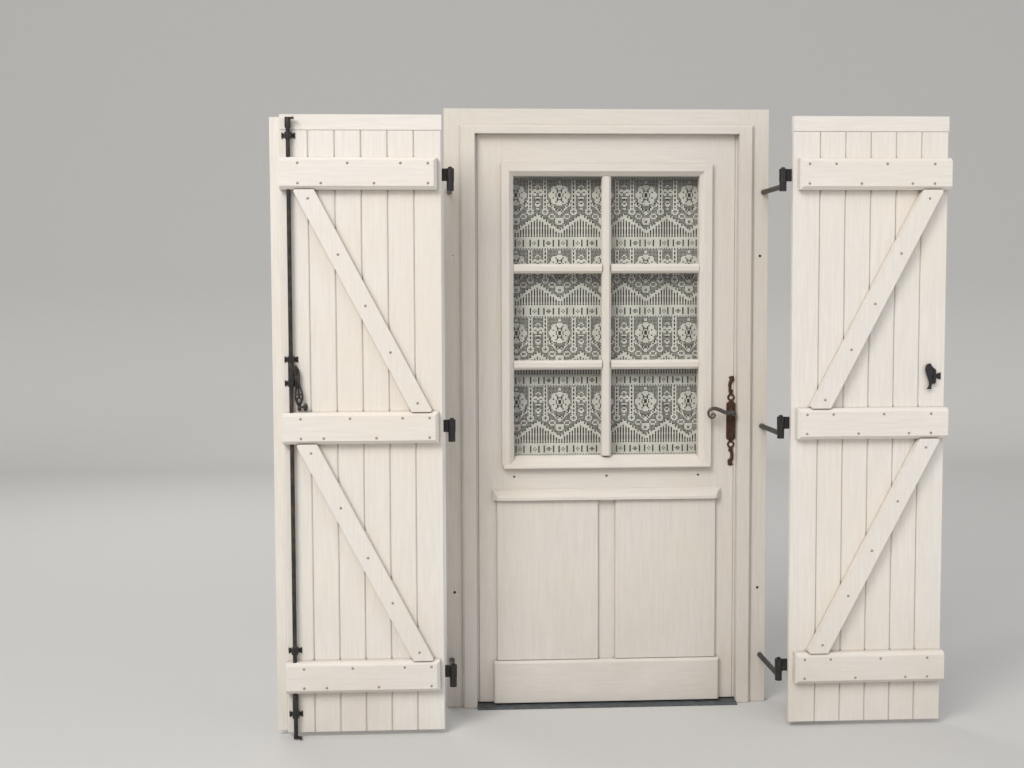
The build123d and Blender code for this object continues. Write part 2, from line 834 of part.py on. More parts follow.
with BuildPart() as deadbolt:
    with Locations((leaf_half - 0.5, bolt_y, deadbolt_level)):
        Box(bolt_length, bolt_thick, deadbolt_height, align=(Align.MAX, Align.CENTER, Align.CENTER))
    fillet(deadbolt.faces().sort_by(Axis.X)[-1].edges().filter_by(Axis.Z), radius=1.5)
deadbolt.part.label = "deadbolt"
export_step(deadbolt.part, "parts/deadbolt.step")


# Lock plates: a long plate with hollowed corners, and a ring and scrolled finial at each end
with BuildPart() as outside_plate:
    with BuildSketch(from_front(leaf_front)) as plate_outline:
        with Locations((lever_x, plate_level)):
            Rectangle(plate_width, plate_height)
        with Locations(
            (lever_x - plate_width / 2, plate_level - plate_height / 2),
            (lever_x + plate_width / 2, plate_level - plate_height / 2),
            (lever_x - plate_width / 2, plate_level + plate_height / 2),
            (lever_x + plate_width / 2, plate_level + plate_height / 2),
        ):
            Circle(plate_width * 0.16, mode=Mode.SUBTRACT)
        for direction in (-1, 1):
            start = plate_level + direction * plate_height / 2
            ring = start + direction * (ring_outer / 2 + 2)
            root = ring + direction * (ring_outer / 2 - 2)
            crown = root + direction * (finial_height - finial_lobe)
            belly = (root + crown) / 2
            with Locations((lever_x, ring)):
                Circle(ring_outer / 2)
            with Locations((lever_x, (start + ring) / 2)):
                Rectangle(ring_outer * 0.45, abs(ring - start))
            with BuildLine():
                swell = Spline(
                    (lever_x - direction * 3, root),
                    (lever_x - direction * 8, belly - direction * 10),
                    (lever_x - direction * 3, crown),
                )
                hollow = Spline(
                    (lever_x + direction * 5, crown),
                    (lever_x + direction * 1, belly),
                    (lever_x + direction * 5, root),
                )
                Line(swell @ 1, hollow @ 0)
                Line(hollow @ 1, swell @ 0)
            make_face()
            with Locations(
                (lever_x - direction * 5, crown),
                (lever_x + direction * 7, crown),
                (lever_x + direction * 1, crown + direction * 2),
                (lever_x - direction * 4, root + direction * 5),
                (lever_x - direction * 7, belly),
                (lever_x - direction * 6, belly + direction * 12),
            ):
                Circle(finial_lobe)
            with Locations((lever_x, ring)):
                Circle(ring_inner / 2, mode=Mode.SUBTRACT)
    extrude(amount=plate_thick)
    with BuildSketch(from_front(leaf_front - plate_thick)):
        with Locations((lever_x, key_level - keyhole_drop / 2 + 2)):
            Ellipse(plate_width * 0.3, keyhole_drop * 1.1)
    extrude(amount=plate_thick / 2)
    with BuildSketch(from_front(leaf_front)):
        with Locations((lever_x, lever_level)):
            Circle(lever_collar / 2 - 2)
        with Locations((lever_x, key_level)):
            Circle(keyhole_round / 2)
            Rectangle(keyhole_slot, keyhole_drop, align=(Align.CENTER, Align.MAX))
    extrude(amount=plate_thick * 2, mode=Mode.SUBTRACT)
outside_plate.part.label = "outside_plate"
export_step(outside_plate.part, "parts/outside_plate.step")

room_side = Plane.XZ.offset(-(leaf_front + leaf_back) / 2)
inside_plate = mirror(outside_plate.part, about=room_side)
inside_plate.label = "inside_plate"
export_step(inside_plate, "parts/inside_plate.step")

# Lever: a collar and neck, then an arm that rises to a crest and rolls down into a curl
arm_y = leaf_front - plate_thick - lever_stand

with BuildPart() as outside_lever:
    with BuildLine(from_front(arm_y)) as arm:
        rise = atan2(arm_rise, -arm_run)
        crest = (lever_x - arm_run, lever_level + arm_rise)
        below = (crest[0] - 2 * curl_outer * sin(rise), crest[1] + 2 * curl_outer * cos(rise))
        Line((lever_x, lever_level), crest)
        JernArc(crest, (cos(rise), sin(rise)), curl_outer, 180)
        JernArc(below, (-cos(rise), -sin(rise)), curl_inner, curl_turn)
    along = Plane((lever_x, arm_y, lever_level), x_dir=(0, 1, 0), z_dir=(cos(rise), 0, sin(rise)))
    with BuildSketch(along):
        Circle(lever_wire / 2)
    sweep(path=arm.wires()[0])
    with Locations(arm.wires()[0] @ 1):
        Sphere(lever_wire / 2)
    with Locations((lever_x, arm_y, lever_level)):
        Sphere(lever_neck / 2 + 0.6)
    with BuildSketch(from_front(arm_y)):
        with Locations((lever_x, lever_level)):
            Circle(lever_neck / 2)
    extrude(amount=-lever_stand)
    with BuildSketch(from_front(leaf_front - plate_thick - end_gap)):
        with Locations((lever_x, lever_level)):
            Circle(lever_collar / 2)
    extrude(amount=6)
    with BuildSketch(from_front(leaf_front)):
        with Locations((lever_x, lever_level)):
            Circle(lever_collar / 2 - 2 - running_gap)
    extrude(amount=plate_thick + 2)
    with BuildSketch(from_front(leaf_front)):
        with Locations((lever_x, lever_level)):
            Rectangle(spindle_side, spindle_side)
    extrude(amount=lever_stand * 0.7, mode=Mode.SUBTRACT)
outside_lever.part.label = "outside_lever"
export_step(outside_lever.part, "parts/outside_lever.step")
inside_lever = mirror(outside_lever.part, about=room_side)
inside_lever.label = "inside_lever"
export_step(inside_lever, "parts/inside_lever.step")

with BuildPart() as spindle:
    with Locations((lever_x, bolt_y, lever_level)):
        Box(spindle_side, leaf_thick + lever_stand * 1.3, spindle_side)
spindle.part.label = "spindle"
export_step(spindle.part, "parts/spindle.step")


# Shutters: tongued boards under a header rail, on three ledges with two braces
def nail_spots(side):
    """Where the nails go through the ledges: both edges on the outer boards, then one by turns."""
    edges = [hinge_edge]
    widths = [edge_board] + [inner_board] * (board_count - 2) + [edge_board]
    for width in widths:
        edges.append(edges[-1] + width)
    centres = [(a + b) / 2 for a, b in zip(edges, edges[1:])]
    rise = ledge_height / 2 - ledge_chamfer - 9
    for level in ledge_levels:
        for index, x in enumerate(centres):
            outer = index in (0, board_count - 1)
            x = x - 14 if index == board_count - 1 else x
            for sign in ((-1, 1) if outer else ((-1, 1)[index % 2],)):
                yield x, level + sign * rise


def brace_ends(side, low, high):
    """The brace's centre line between two ledges: its head is near the meeting edge."""
    head_inset, foot_inset = brace_insets[side]
    return (hinge_edge + foot_inset, low), (meeting_edge - head_inset, high)


brace_spans = [
    (low + ledge_height / 2, high - ledge_height / 2) for low, high in zip(ledge_levels, ledge_levels[1:])
]


def brace_nail_spots(side):
    for low, high in brace_spans:
        foot, head = brace_ends(side, low, high)
        for share in (0.04, 0.27, 0.48, 0.71, 0.96):
            yield foot[0] + share * (head[0] - foot[0]), foot[1] + share * (head[1] - foot[1])


def shutter_boards(side):
    widths = [edge_board] + [inner_board] * (board_count - 2) + [edge_board]
    middle = back_y - board_thick / 2
    with BuildPart() as boards:
        edge = hinge_edge
        for index, width in enumerate(widths):
            with BuildSketch(Plane.XY.offset(shutter_bottom)) as section:
                with Locations((edge + width / 2, middle)):
                    Rectangle(width - board_joint, board_thick)
                chamfer(section.vertices(), length=board_chamfer)
                if index < board_count - 1:
                    with Locations((edge + width - board_joint / 2 - 1, middle)):
                        Rectangle(tongue + 1, tongue_thick, align=(Align.MIN, Align.CENTER))
                if index > 0:
                    with Locations((edge, middle)):
                        Rectangle(
                            tongue + tongue_gap,
                            tongue_thick + tongue_gap,
                            align=(Align.MIN, Align.CENTER),
                            mode=Mode.SUBTRACT,
                        )
            extrude(amount=shutter_height - header_height)
            edge += width
        with BuildSketch(from_front(back_y)):
            with Locations(*strap_screw_spots()):
                Circle(nail_shank / 2)
        extrude(amount=screw_length - strap_thick, mode=Mode.SUBTRACT)
    return on_side(boards.part, side)


def shutter_header(side):
    with BuildPart() as header:
        with BuildSketch(from_front(back_y)):
            with Locations((hinge_edge, shutter_top)):
                Rectangle(shutter_width, header_height, align=(Align.MIN, Align.MAX))
        extrude(amount=board_thick)
        lower = header.faces().sort_by(Axis.Z)[0].edges().filter_by(Axis.X)
        chamfer(lower, length=board_chamfer / 2)
    return on_side(header.part, side)


def shutter_ledges(side):
    with BuildPart() as ledges:
        for level in ledge_levels:
            with BuildSketch(from_front(face_y)):
                with Locations((meeting_edge, level)):
                    Rectangle(
                        shutter_width - ledge_hinge_inset,
                        ledge_height,
                        align=(Align.MAX, Align.CENTER),
                    )
            extrude(amount=ledge_thick)
        fronts = ledges.faces().filter_by(Plane.XZ).group_by(Axis.Y)[0]
        for face in fronts:
            chamfer(face.edges().sort_by(Axis.X)[:-1], length=ledge_chamfer)
        with BuildSketch(from_front(face_y - ledge_thick)):
            with Locations(*nail_spots(side)):
                Circle(nail_shank / 2)
        extrude(amount=-nail_length, mode=Mode.SUBTRACT)
        if side == LEFT:
            with BuildSketch(Plane.XY):
                with Locations((rod_x, rod_y)):
                    Circle(rod_round / 2 + 1)
            extrude(amount=shutter_top, mode=Mode.SUBTRACT)
    return on_side(ledges.part, side)


def shutter_braces(side):
    with BuildPart() as braces:
        for low, high in brace_spans:
            foot, head = brace_ends(side, low, high)
            lean = atan2(head[0] - foot[0], head[1] - foot[1])
            half = brace_width / 2 / cos(lean)
            with BuildSketch(from_front(face_y)) as outline:
                with BuildLine():
                    Polyline(
                        (foot[0] - half, foot[1]),
                        (foot[0] + half, foot[1]),
                        (head[0] + half, head[1]),
                        (head[0] - half, head[1]),
                        close=True,
                    )
                make_face()
                corners = outline.vertices().sort_by(Axis.X)
                chamfer([corners[0], corners[-1]], length=brace_clip)
            extrude(amount=brace_thick)
        with BuildSketch(from_front(face_y - brace_thick)):
            with Locations(*brace_nail_spots(side)):
                Circle(nail_shank / 2)
        extrude(amount=-nail_length, mode=Mode.SUBTRACT)
    return on_side(braces.part, side)


def shutter_nails(side):
    """Domed nails, seated on the faces of the ledges and braces."""
    with BuildPart() as nail:
        with BuildSketch(Plane.XZ):
            with BuildLine():
                Line((0, -nail_length), (0, nail_dome))
                ThreePointArc(
                    (0, nail_dome), (nail_head * 0.32, nail_dome * 0.75), (nail_head / 2, 0)
                )
                Line((nail_head / 2, 0), (nail_shank / 2 - 0.1, 0))
                Line((nail_shank / 2 - 0.1, 0), (nail_shank / 2 - 0.1, -nail_length + 1))
                Line((nail_shank / 2 - 0.1, -nail_length + 1), (0, -nail_length))
            make_face()
        revolve(axis=Axis.Z)
    with BuildPart() as nails:
        for spots, depth in (
            (nail_spots(side), face_y - ledge_thick),
            (brace_nail_spots(side), face_y - brace_thick),
        ):
            with Locations(*[from_front(depth) * Location((x, z, 0)) for x, z in spots]):
                add(nail.part)
    return on_side(nails.part, side)


def strap_screw_spots():
    for level in ledge_levels:
        for reach in (0.2, 0.48, 0.76):
            yield axis_half + strap_length * reach + 8, level


def shutter_straps(side):
    """Straps on the shutter's weather face, each forged round its pintle at the hinge end."""
    with BuildPart() as straps:
        for level in ledge_levels:
            with BuildSketch(from_front(back_y + strap_thick)):
                with BuildLine():
                    root = axis_half
                    tip = axis_half + strap_length
                    waist = strap_height * 0.32
                    Polyline(
                        (tip - waist, level - waist),
                        (root, level - strap_height / 2),
                        (root, level + strap_height / 2),
                        (tip - waist, level + waist),
                    )
                    ThreePointArc((tip - waist, level + waist), (tip, level), (tip - waist, level - waist))
                make_face()
            extrude(amount=strap_thick)
            with BuildSketch(Plane.XY.offset(level - strap_height / 2)):
                with Locations((axis_half, -axis_stand)):
                    Circle(eye_outer / 2)
            extrude(amount=strap_height)
            with BuildSketch(Plane.XY.offset(level - strap_height / 2)):
                with Locations((axis_half, -axis_stand)):
                    Circle(pin_bore / 2)
            extrude(amount=strap_height, mode=Mode.SUBTRACT)
        with BuildSketch(from_front(back_y + strap_thick)):
            with Locations(*strap_screw_spots()):
                Circle(nail_shank / 2 + 0.3)
        extrude(amount=strap_thick, mode=Mode.SUBTRACT)
    return on_side(straps.part, side)


def strap_screws(side):
    with BuildPart() as screw:
        with BuildSketch(Plane.XZ):
            with BuildLine():
                Line((0, -screw_length), (0, 2.5))
                ThreePointArc((0, 2.5), (screw_head * 0.36, 1.6), (screw_head / 2, 0))
                Line((screw_head / 2, 0), (nail_shank / 2 - 0.1, 0))
                Line((nail_shank / 2 - 0.1, 0), (nail_shank / 2 - 0.1, 2 - screw_length))
                Line((nail_shank / 2 - 0.1, 2 - screw_length), (0, -screw_length))
            make_face()
        revolve(axis=Axis.Z)
    weather = Plane((0, back_y + strap_thick, 0), x_dir=(-1, 0, 0), z_dir=(0, 1, 0))
    with BuildPart() as screws:
        with Locations(*[weather * Location((-x, z, 0)) for x, z in strap_screw_spots()]):
            add(screw.part)
    return on_side(screws.part, side)


def shutter_pintles(side):
    """Pintles: an upright pin on a round base, whose shank runs back into the frame."""
    with BuildPart() as pintles:
        for low, shank_level in zip(eye_low, shank_levels):
            with BuildSketch(Plane.XY.offset(low - end_gap)):
                with Locations((axis_half, -axis_stand)):
                    Circle(base_round / 2)
            extrude(amount=-base_height)
            with BuildSketch(Plane.XY.offset(low - end_gap)):
                with Locations((axis_half, -axis_stand)):
                    Circle(pin_radius)
            extrude(amount=strap_height + pin_above)
            with BuildSketch(from_front(-axis_stand)):
                with Locations((axis_half, shank_level)):
                    Circle(shank_round / 2)
            extrude(amount=-(axis_stand + flange_step + shank_seat))
        tips = pintles.faces().filter_by(lambda face: face.normal_at().Z > 0.9)
        chamfer([tip.edges() for tip in tips if tip.area < pin_radius**2 * 3.2], length=2)
    return on_side(pintles.part, side)


for side_name, side in SIDES:
    for kind, make in (
        ("boards", shutter_boards),
        ("header", shutter_header),
        ("ledges", shutter_ledges),
        ("braces", shutter_braces),
        ("nails", shutter_nails),
        ("straps", shutter_straps),
        ("strap_screws", strap_screws),
        ("pintles", shutter_pintles),
    ):
        piece = make(side)
        piece.label = f"{side_name}_{kind}"
        export_step(piece, f"parts/{side_name}_{kind}.step")

# Cover batten on the left shutter's weather face, relieved where it laps the right shutter
with BuildPart() as cover_batten:
    with BuildSketch(Plane.XY.offset(shutter_bottom)):
        with Locations((-meeting_edge - batten_proud, back_y)):
            Rectangle(batten_width, batten_thick, align=(Align.MIN, Align.MIN))
        with Locations((-meeting_edge, back_y)):
            Rectangle(batten_proud, batten_relief * 2, align=(Align.MAX, Align.CENTER), mode=Mode.SUBTRACT)
    extrude(amount=shutter_height - batten_short)
    outer = cover_batten.faces().sort_by(Axis.Y)[-1].edges().filter_by(Axis.Z)
    fillet(outer, radius=4)
cover_batten.part.label = "cover_batten"
export_step(cover_batten.part, "parts/cover_batten.step")

# Espagnolette: guides on the boards, the turning rod with its claws, and the handle that drops in the catch
with BuildPart() as rod_guides:
    for level in guide_levels:
        base = level - guide_height / 2
        with BuildSketch(Plane.XY.offset(base)):
            with Locations((-rod_x, face_y)):
                Rectangle(guide_wing, guide_plate, align=(Align.CENTER, Align.MAX))
                Rectangle(rod_round + 2 * guide_wall, rod_stand, align=(Align.CENTER, Align.MAX))
            with Locations((-rod_x, rod_y)):
                Circle(rod_round / 2 + guide_wall)
                Circle(rod_round / 2 + running_gap, mode=Mode.SUBTRACT)
        extrude(amount=guide_height)
        with BuildSketch(from_front(face_y)):
            for end in (-1, 1):
                for half in (-1, 1):
                    with BuildLine():
                        inner = -rod_x + end * (rod_round / 2 + guide_wall)
                        outer = -rod_x + end * guide_wing / 2
                        edge = level + half * guide_height / 2
                        Polyline((inner, edge), (outer, edge), (inner, level + half * 5), close=True)
                    make_face()
        extrude(amount=guide_plate, mode=Mode.SUBTRACT)
rod_guides.part.label = "rod_guides"
export_step(rod_guides.part, "parts/rod_guides.step")

rod_top = shutter_top - rod_top_short
sleeve_low = guide_levels[2] + guide_height / 2 + end_gap
sleeve_high = guide_levels[3] - guide_height / 2 - end_gap
pivot_x = -rod_x + handle_pivot_side
pivot_level = sleeve_high - handle_pivot_below

with BuildPart() as espagnolette_rod:
    for low, high, round_size in (
        (rod_low, rod_top, rod_round),
        (sleeve_low, sleeve_high, sleeve_round),
        (guide_levels[0] + guide_height / 2 + end_gap, guide_levels[0] + 70, sleeve_round + 1),
        (rod_top - 34, rod_top, sleeve_round + 1),
    ):
        with BuildSketch(Plane.XY.offset(low)):
            with Locations((-rod_x, rod_y)):
                Circle(round_size / 2)
        extrude(amount=high - low)
    for foot in (rod_low, rod_top - claw_thick):
        with BuildSketch(Plane.XY.offset(foot)):
            with Locations((-rod_x, rod_y)):
                Rectangle(rod_round, rod_round)
                Rectangle(claw_reach, rod_round * 0.7, align=(Align.MIN, Align.CENTER))
            with Locations((-rod_x + claw_reach, rod_y - rod_round * 0.35)):
                Rectangle(claw_thick, rod_round * 0.9, align=(Align.MAX, Align.MAX))
        extrude(amount=claw_thick)
    with BuildSketch(from_front(rod_y)):
        with Locations((pivot_x, pivot_level)):
            Circle(handle_eye / 2)
        with Locations((-rod_x, pivot_level)):
            Rectangle(handle_pivot_side, handle_eye * 0.8, align=(Align.MIN, Align.CENTER))
    extrude(amount=handle_thick * 1.5, both=True)
    with BuildSketch(from_front(rod_y)):
        with Locations((pivot_x, pivot_level)):
            Circle(handle_eye / 2 + 1.5)
        with Locations((pivot_x, pivot_level)):
            Rectangle(handle_eye + 3, handle_eye * 3, align=(Align.CENTER, Align.MAX))
        with Locations((pivot_x - handle_eye / 2 - 1.5, pivot_level + 3)):
            Rectangle(handle_eye * 3, handle_eye * 3, align=(Align.MIN, Align.CENTER))
    extrude(amount=handle_thick / 2 + end_gap, both=True, mode=Mode.SUBTRACT)
    with BuildSketch(from_front(rod_y)):
        with Locations((pivot_x, pivot_level)):
            Circle(handle_pin / 2)
    extrude(amount=handle_thick * 1.7, both=True)
espagnolette_rod.part.label = "espagnolette_rod"
export_step(espagnolette_rod.part, "parts/espagnolette_rod.step")

handle_low = ledge_levels[1] + ledge_height / 2 + handle_clear
handle_mid_x = pivot_x + handle_width * 0.45

with BuildPart() as espagnolette_handle:
    length = pivot_level - handle_low
    with BuildSketch(from_front(rod_y)) as outline:
        with Locations((pivot_x, pivot_level)):
            Circle(handle_eye / 2)
        with BuildLine():
            left = handle_mid_x - handle_width / 2
            right = handle_mid_x + handle_width / 2
            Spline(
                (pivot_x - 5, pivot_level),
                (left + 3, pivot_level - length * 0.3),
                (left, pivot_level - length * 0.68),
                (handle_mid_x - 6, handle_low + handle_knob),
            )
            Line((handle_mid_x - 6, handle_low + handle_knob), (handle_mid_x + 8, handle_low + handle_knob))
            Spline(
                (handle_mid_x + 8, handle_low + handle_knob),
                (right, pivot_level - length * 0.68),
                (right - 8, pivot_level - length * 0.3),
                (pivot_x + 5, pivot_level),
            )
            Line((pivot_x + 5, pivot_level), (pivot_x - 5, pivot_level))
        make_face()
        with Locations((pivot_x, pivot_level)):
            Circle(handle_pin / 2 + running_gap, mode=Mode.SUBTRACT)
        with Locations((handle_mid_x - 5, pivot_level - length * 0.46)):
            SlotOverall(length * 0.2, 4.5, rotation=94, mode=Mode.SUBTRACT)
        with Locations((handle_mid_x + 5, pivot_level - length * 0.5)):
            SlotOverall(length * 0.2, 4.5, rotation=86, mode=Mode.SUBTRACT)
        with Locations(
            (handle_mid_x - 6, pivot_level - length * 0.72),
            (handle_mid_x + 6, pivot_level - length * 0.7),
            (handle_mid_x, pivot_level - length * 0.82),
        ):
            Circle(2.4, mode=Mode.SUBTRACT)
    extrude(amount=handle_thick / 2, both=True)
    with Locations(
        (handle_mid_x - 5, rod_y, handle_low + handle_knob * 0.6),
        (handle_mid_x + 15, rod_y, handle_low + handle_knob * 0.6),
        (handle_mid_x + 15, rod_y, handle_low + handle_knob * 1.5),
    ):
        Sphere(handle_knob * 0.6)
    with Locations((handle_mid_x + 5, rod_y, handle_low + handle_knob * 1.1)):
        Box(20, handle_thick * 0.8, 6)
espagnolette_handle.part.label = "espagnolette_handle"
export_step(espagnolette_handle.part, "parts/espagnolette_handle.step")

# Catch on the right shutter: a bow-tie bracket and a leaf-shaped keeper that folds out to take the handle
catch_x = meeting_edge - catch_inset
catch_y = face_y - catch_stand
catch_top = catch_level + catch_height / 2
bracket_height = 24.0

with BuildPart() as catch_bracket:
    with BuildSketch(from_front(face_y)):
        with BuildLine():
            Polyline(
                (catch_x - 7, catch_level - bracket_height / 4),
                (catch_x + 8, catch_level - bracket_height / 4),
                (catch_x + 25, catch_level - bracket_height / 2),
                (catch_x + 25, catch_level + bracket_height / 2),
                (catch_x + 8, catch_level + bracket_height / 4),
                (catch_x - 7, catch_level + bracket_height / 4),
                close=True,
            )
        make_face()
    extrude(amount=guide_plate)
    with BuildSketch(Plane.XY.offset(catch_level - bracket_height / 4)):
        with Locations((catch_x, catch_y)):
            Circle(catch_pin / 2 + 3)
            Rectangle(catch_pin + 6, catch_stand, align=(Align.CENTER, Align.MIN))
    extrude(amount=bracket_height / 2)
    with Locations((catch_x, catch_y, catch_level)):
        Cylinder(catch_pin / 2, catch_height * 0.6)
catch_bracket.part.label = "catch_bracket"
export_step(catch_bracket.part, "parts/catch_bracket.step")

with BuildPart() as handle_catch:
    half = catch_height / 2
    with BuildSketch(from_front(catch_y)):
        with BuildLine():
            Spline(
                (catch_x, catch_level + half * 0.55),
                (catch_x - catch_width * 0.3, catch_level + half * 0.8),
                (catch_x - catch_width * 0.5, catch_level + half),
            )
            Line(
                (catch_x - catch_width * 0.5, catch_level + half),
                (catch_x - catch_width * 0.85, catch_level + half * 0.93),
            )
            Spline(
                (catch_x - catch_width * 0.85, catch_level + half * 0.93),
                (catch_x - catch_width, catch_level + half * 0.3),
                (catch_x - catch_width * 0.62, catch_level - half * 0.7),
                (catch_x - catch_width * 0.9, catch_level - half),
            )
            Line(
                (catch_x - catch_width * 0.9, catch_level - half),
                (catch_x - catch_width * 0.3, catch_level - half),
            )
            Spline(
                (catch_x - catch_width * 0.3, catch_level - half),
                (catch_x - catch_width * 0.32, catch_level - half * 0.7),
                (catch_x, catch_level - half * 0.5),
            )
            Line((catch_x, catch_level - half * 0.5), (catch_x, catch_level + half * 0.55))
        make_face()
    extrude(amount=catch_plate / 2, both=True)
    with Locations((catch_x, catch_y, catch_level)):
        Box(catch_pin + 9, catch_pin + 9, bracket_height / 2 + 2 * end_gap, mode=Mode.SUBTRACT)
    for low in (catch_level + bracket_height / 4 + end_gap, catch_level - half * 0.5):
        with BuildSketch(Plane.XY.offset(low)):
            with Locations((catch_x, catch_y)):
                Circle(catch_pin / 2 + 3)
        extrude(amount=half * 0.5 - bracket_height / 4 - end_gap)
    with Locations((catch_x, catch_y, catch_level)):
        Cylinder(catch_pin / 2 + running_gap, catch_height, mode=Mode.SUBTRACT)
handle_catch.part.label = "handle_catch"
export_step(handle_catch.part, "parts/handle_catch.step")
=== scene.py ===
"""Looks for a half-glazed door with board shutters: paint, iron, glass and a lace curtain.

Lengths are in metres unless a comment says millimetres.
"""

from math import atan2, cos, floor, pi, radians, sin, sqrt

import bmesh
import bpy
from bpy.props import FloatProperty, FloatVectorProperty, IntProperty, PointerProperty
from bpy.types import Operator, Panel, PropertyGroup
from mathutils import Euler, Matrix, Vector


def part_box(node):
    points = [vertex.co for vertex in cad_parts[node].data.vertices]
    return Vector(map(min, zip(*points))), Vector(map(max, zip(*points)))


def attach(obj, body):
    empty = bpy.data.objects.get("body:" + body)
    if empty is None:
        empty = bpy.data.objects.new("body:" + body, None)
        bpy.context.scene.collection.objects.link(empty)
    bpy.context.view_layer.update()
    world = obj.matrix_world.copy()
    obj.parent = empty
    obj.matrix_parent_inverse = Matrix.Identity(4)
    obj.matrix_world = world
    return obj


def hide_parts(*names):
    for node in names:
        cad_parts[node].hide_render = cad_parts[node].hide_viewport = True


bl_info = {
    "name": "Half-glazed door with board shutters",
    "version": (1, 0, 0),
    "blender": (4, 5, 0),
    "location": "View3D > Sidebar > Door",
    "description": "Paints, glazes and dresses a half-glazed entrance door and its board shutters",
    "category": "Object",
}

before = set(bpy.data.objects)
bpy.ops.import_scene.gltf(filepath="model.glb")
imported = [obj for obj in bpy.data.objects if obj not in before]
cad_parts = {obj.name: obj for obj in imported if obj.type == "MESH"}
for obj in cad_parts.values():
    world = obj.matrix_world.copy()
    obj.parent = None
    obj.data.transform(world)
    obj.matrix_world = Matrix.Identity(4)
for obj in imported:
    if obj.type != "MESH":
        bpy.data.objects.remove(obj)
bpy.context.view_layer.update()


def node_box(node):
    """Lowest and highest corner of a CAD node."""
    low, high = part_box(node)
    return Vector(low), Vector(high)


class WoodworkSettings(PropertyGroup):
    # The shutters' paint made darker: painted shade on the leaf and its frame
    door_white_in_shade: FloatVectorProperty(
        name="Door paint", description="Colour of the paint on the leaf and its frame",
        subtype="COLOR", size=3, min=0, max=1, default=(0.71, 0.665, 0.61),
    )
    shutter_white: FloatVectorProperty(
        name="Shutter paint", description="Colour of the paint on the shutters",
        subtype="COLOR", size=3, min=0, max=1, default=(0.8, 0.755, 0.7),
    )
    # Also the colour of the painted shade in joints and corners, and mixed half and half with the
    # paint for the splash low down
    grime_and_shade: FloatVectorProperty(
        name="Grime", description="Colour of the dust in joints and corners",
        subtype="COLOR", size=3, min=0, max=1, default=(0.21, 0.18, 0.15),
    )
    brush_depth: FloatProperty(
        name="Brush marks", description="Depth of the brush marks in the paint",
        subtype="DISTANCE", unit="LENGTH", min=0, default=0.00025,
    )


class IronSettings(PropertyGroup):
    iron_black: FloatVectorProperty(
        name="Iron paint", description="Colour of the paint on the forged iron",
        subtype="COLOR", size=3, min=0, max=1, default=(0.016, 0.015, 0.015),
    )
    rust: FloatVectorProperty(
        name="Rust", description="Colour of rust on the iron and on the lock plates",
        subtype="COLOR", size=3, min=0, max=1, default=(0.11, 0.042, 0.018),
    )
    pewter: FloatVectorProperty(
        name="Lever", description="Colour of the levers' worn metal",
        subtype="COLOR", size=3, min=0, max=1, default=(0.16, 0.15, 0.135),
    )


class LaceSettings(PropertyGroup):
    cells_across: IntProperty(
        name="Cells across", description="Meshes of the net across one pattern repeat",
        min=16, default=32,
    )
    cells_down: IntProperty(
        name="Cells down", description="Meshes of the net down one pattern repeat",
        min=24, default=51,
    )
    repeat_width: FloatProperty(
        name="Repeat width", description="Width of one repeat of the pattern",
        subtype="DISTANCE", unit="LENGTH", min=0.05, default=0.157,
    )
    repeat_height: FloatProperty(
        name="Repeat height", description="Height of one repeat of the pattern",
        subtype="DISTANCE", unit="LENGTH", min=0.05, default=0.249,
    )
    thread: FloatProperty(
        name="Thread", description="Half the width of the net's threads",
        subtype="DISTANCE", unit="LENGTH", min=0.0002, default=0.00065,
    )
    gather: FloatProperty(
        name="Gather depth", description="How far the curtain waves each way",
        subtype="DISTANCE", unit="LENGTH", min=0, default=0.004,
    )
    gathers: IntProperty(name="Gathers", description="Waves across the curtain", min=1, default=8)
    cotton: FloatVectorProperty(
        name="Cotton", description="Colour of the lace", subtype="COLOR",
        size=3, min=0, max=1, default=(0.56, 0.53, 0.475),
    )


class StageSettings(PropertyGroup):
    backdrop: FloatVectorProperty(
        name="Backdrop", description="Colour of the floor and backdrop", subtype="COLOR",
        size=3, min=0, max=1, default=(0.6, 0.59, 0.575),
    )
    room_shade: FloatVectorProperty(
        name="Room shade", description="Colour of the unlit room seen through the panes",
        subtype="COLOR", size=3, min=0, max=1, default=(0.035, 0.032, 0.03),
    )
    camera_place: FloatVectorProperty(
        name="Camera", description="Where the camera stands", subtype="TRANSLATION",
        unit="LENGTH", size=3, default=(-0.627, -4.95, 1.498),
    )
    camera_lens: FloatProperty(
        name="Lens", description="Focal length of the camera in millimetres", min=10, default=49.2
    )


# Materials

# Stretch of the grain along X, Y and Z on upright and on level pieces
UPRIGHT_GRAIN = (14, 14, 0.9)
LEVEL_GRAIN = (0.9, 14, 14)
BRACE_LEAN = radians(26)
BARE_WOOD = (0.42, 0.36, 0.29)
# Brown of the rust round the nails, also painted as shade where ledges and braces meet the boards
NAIL_STAIN_AND_SHADE = (0.3, 0.17, 0.09)
EASED_EDGE = 0.0016


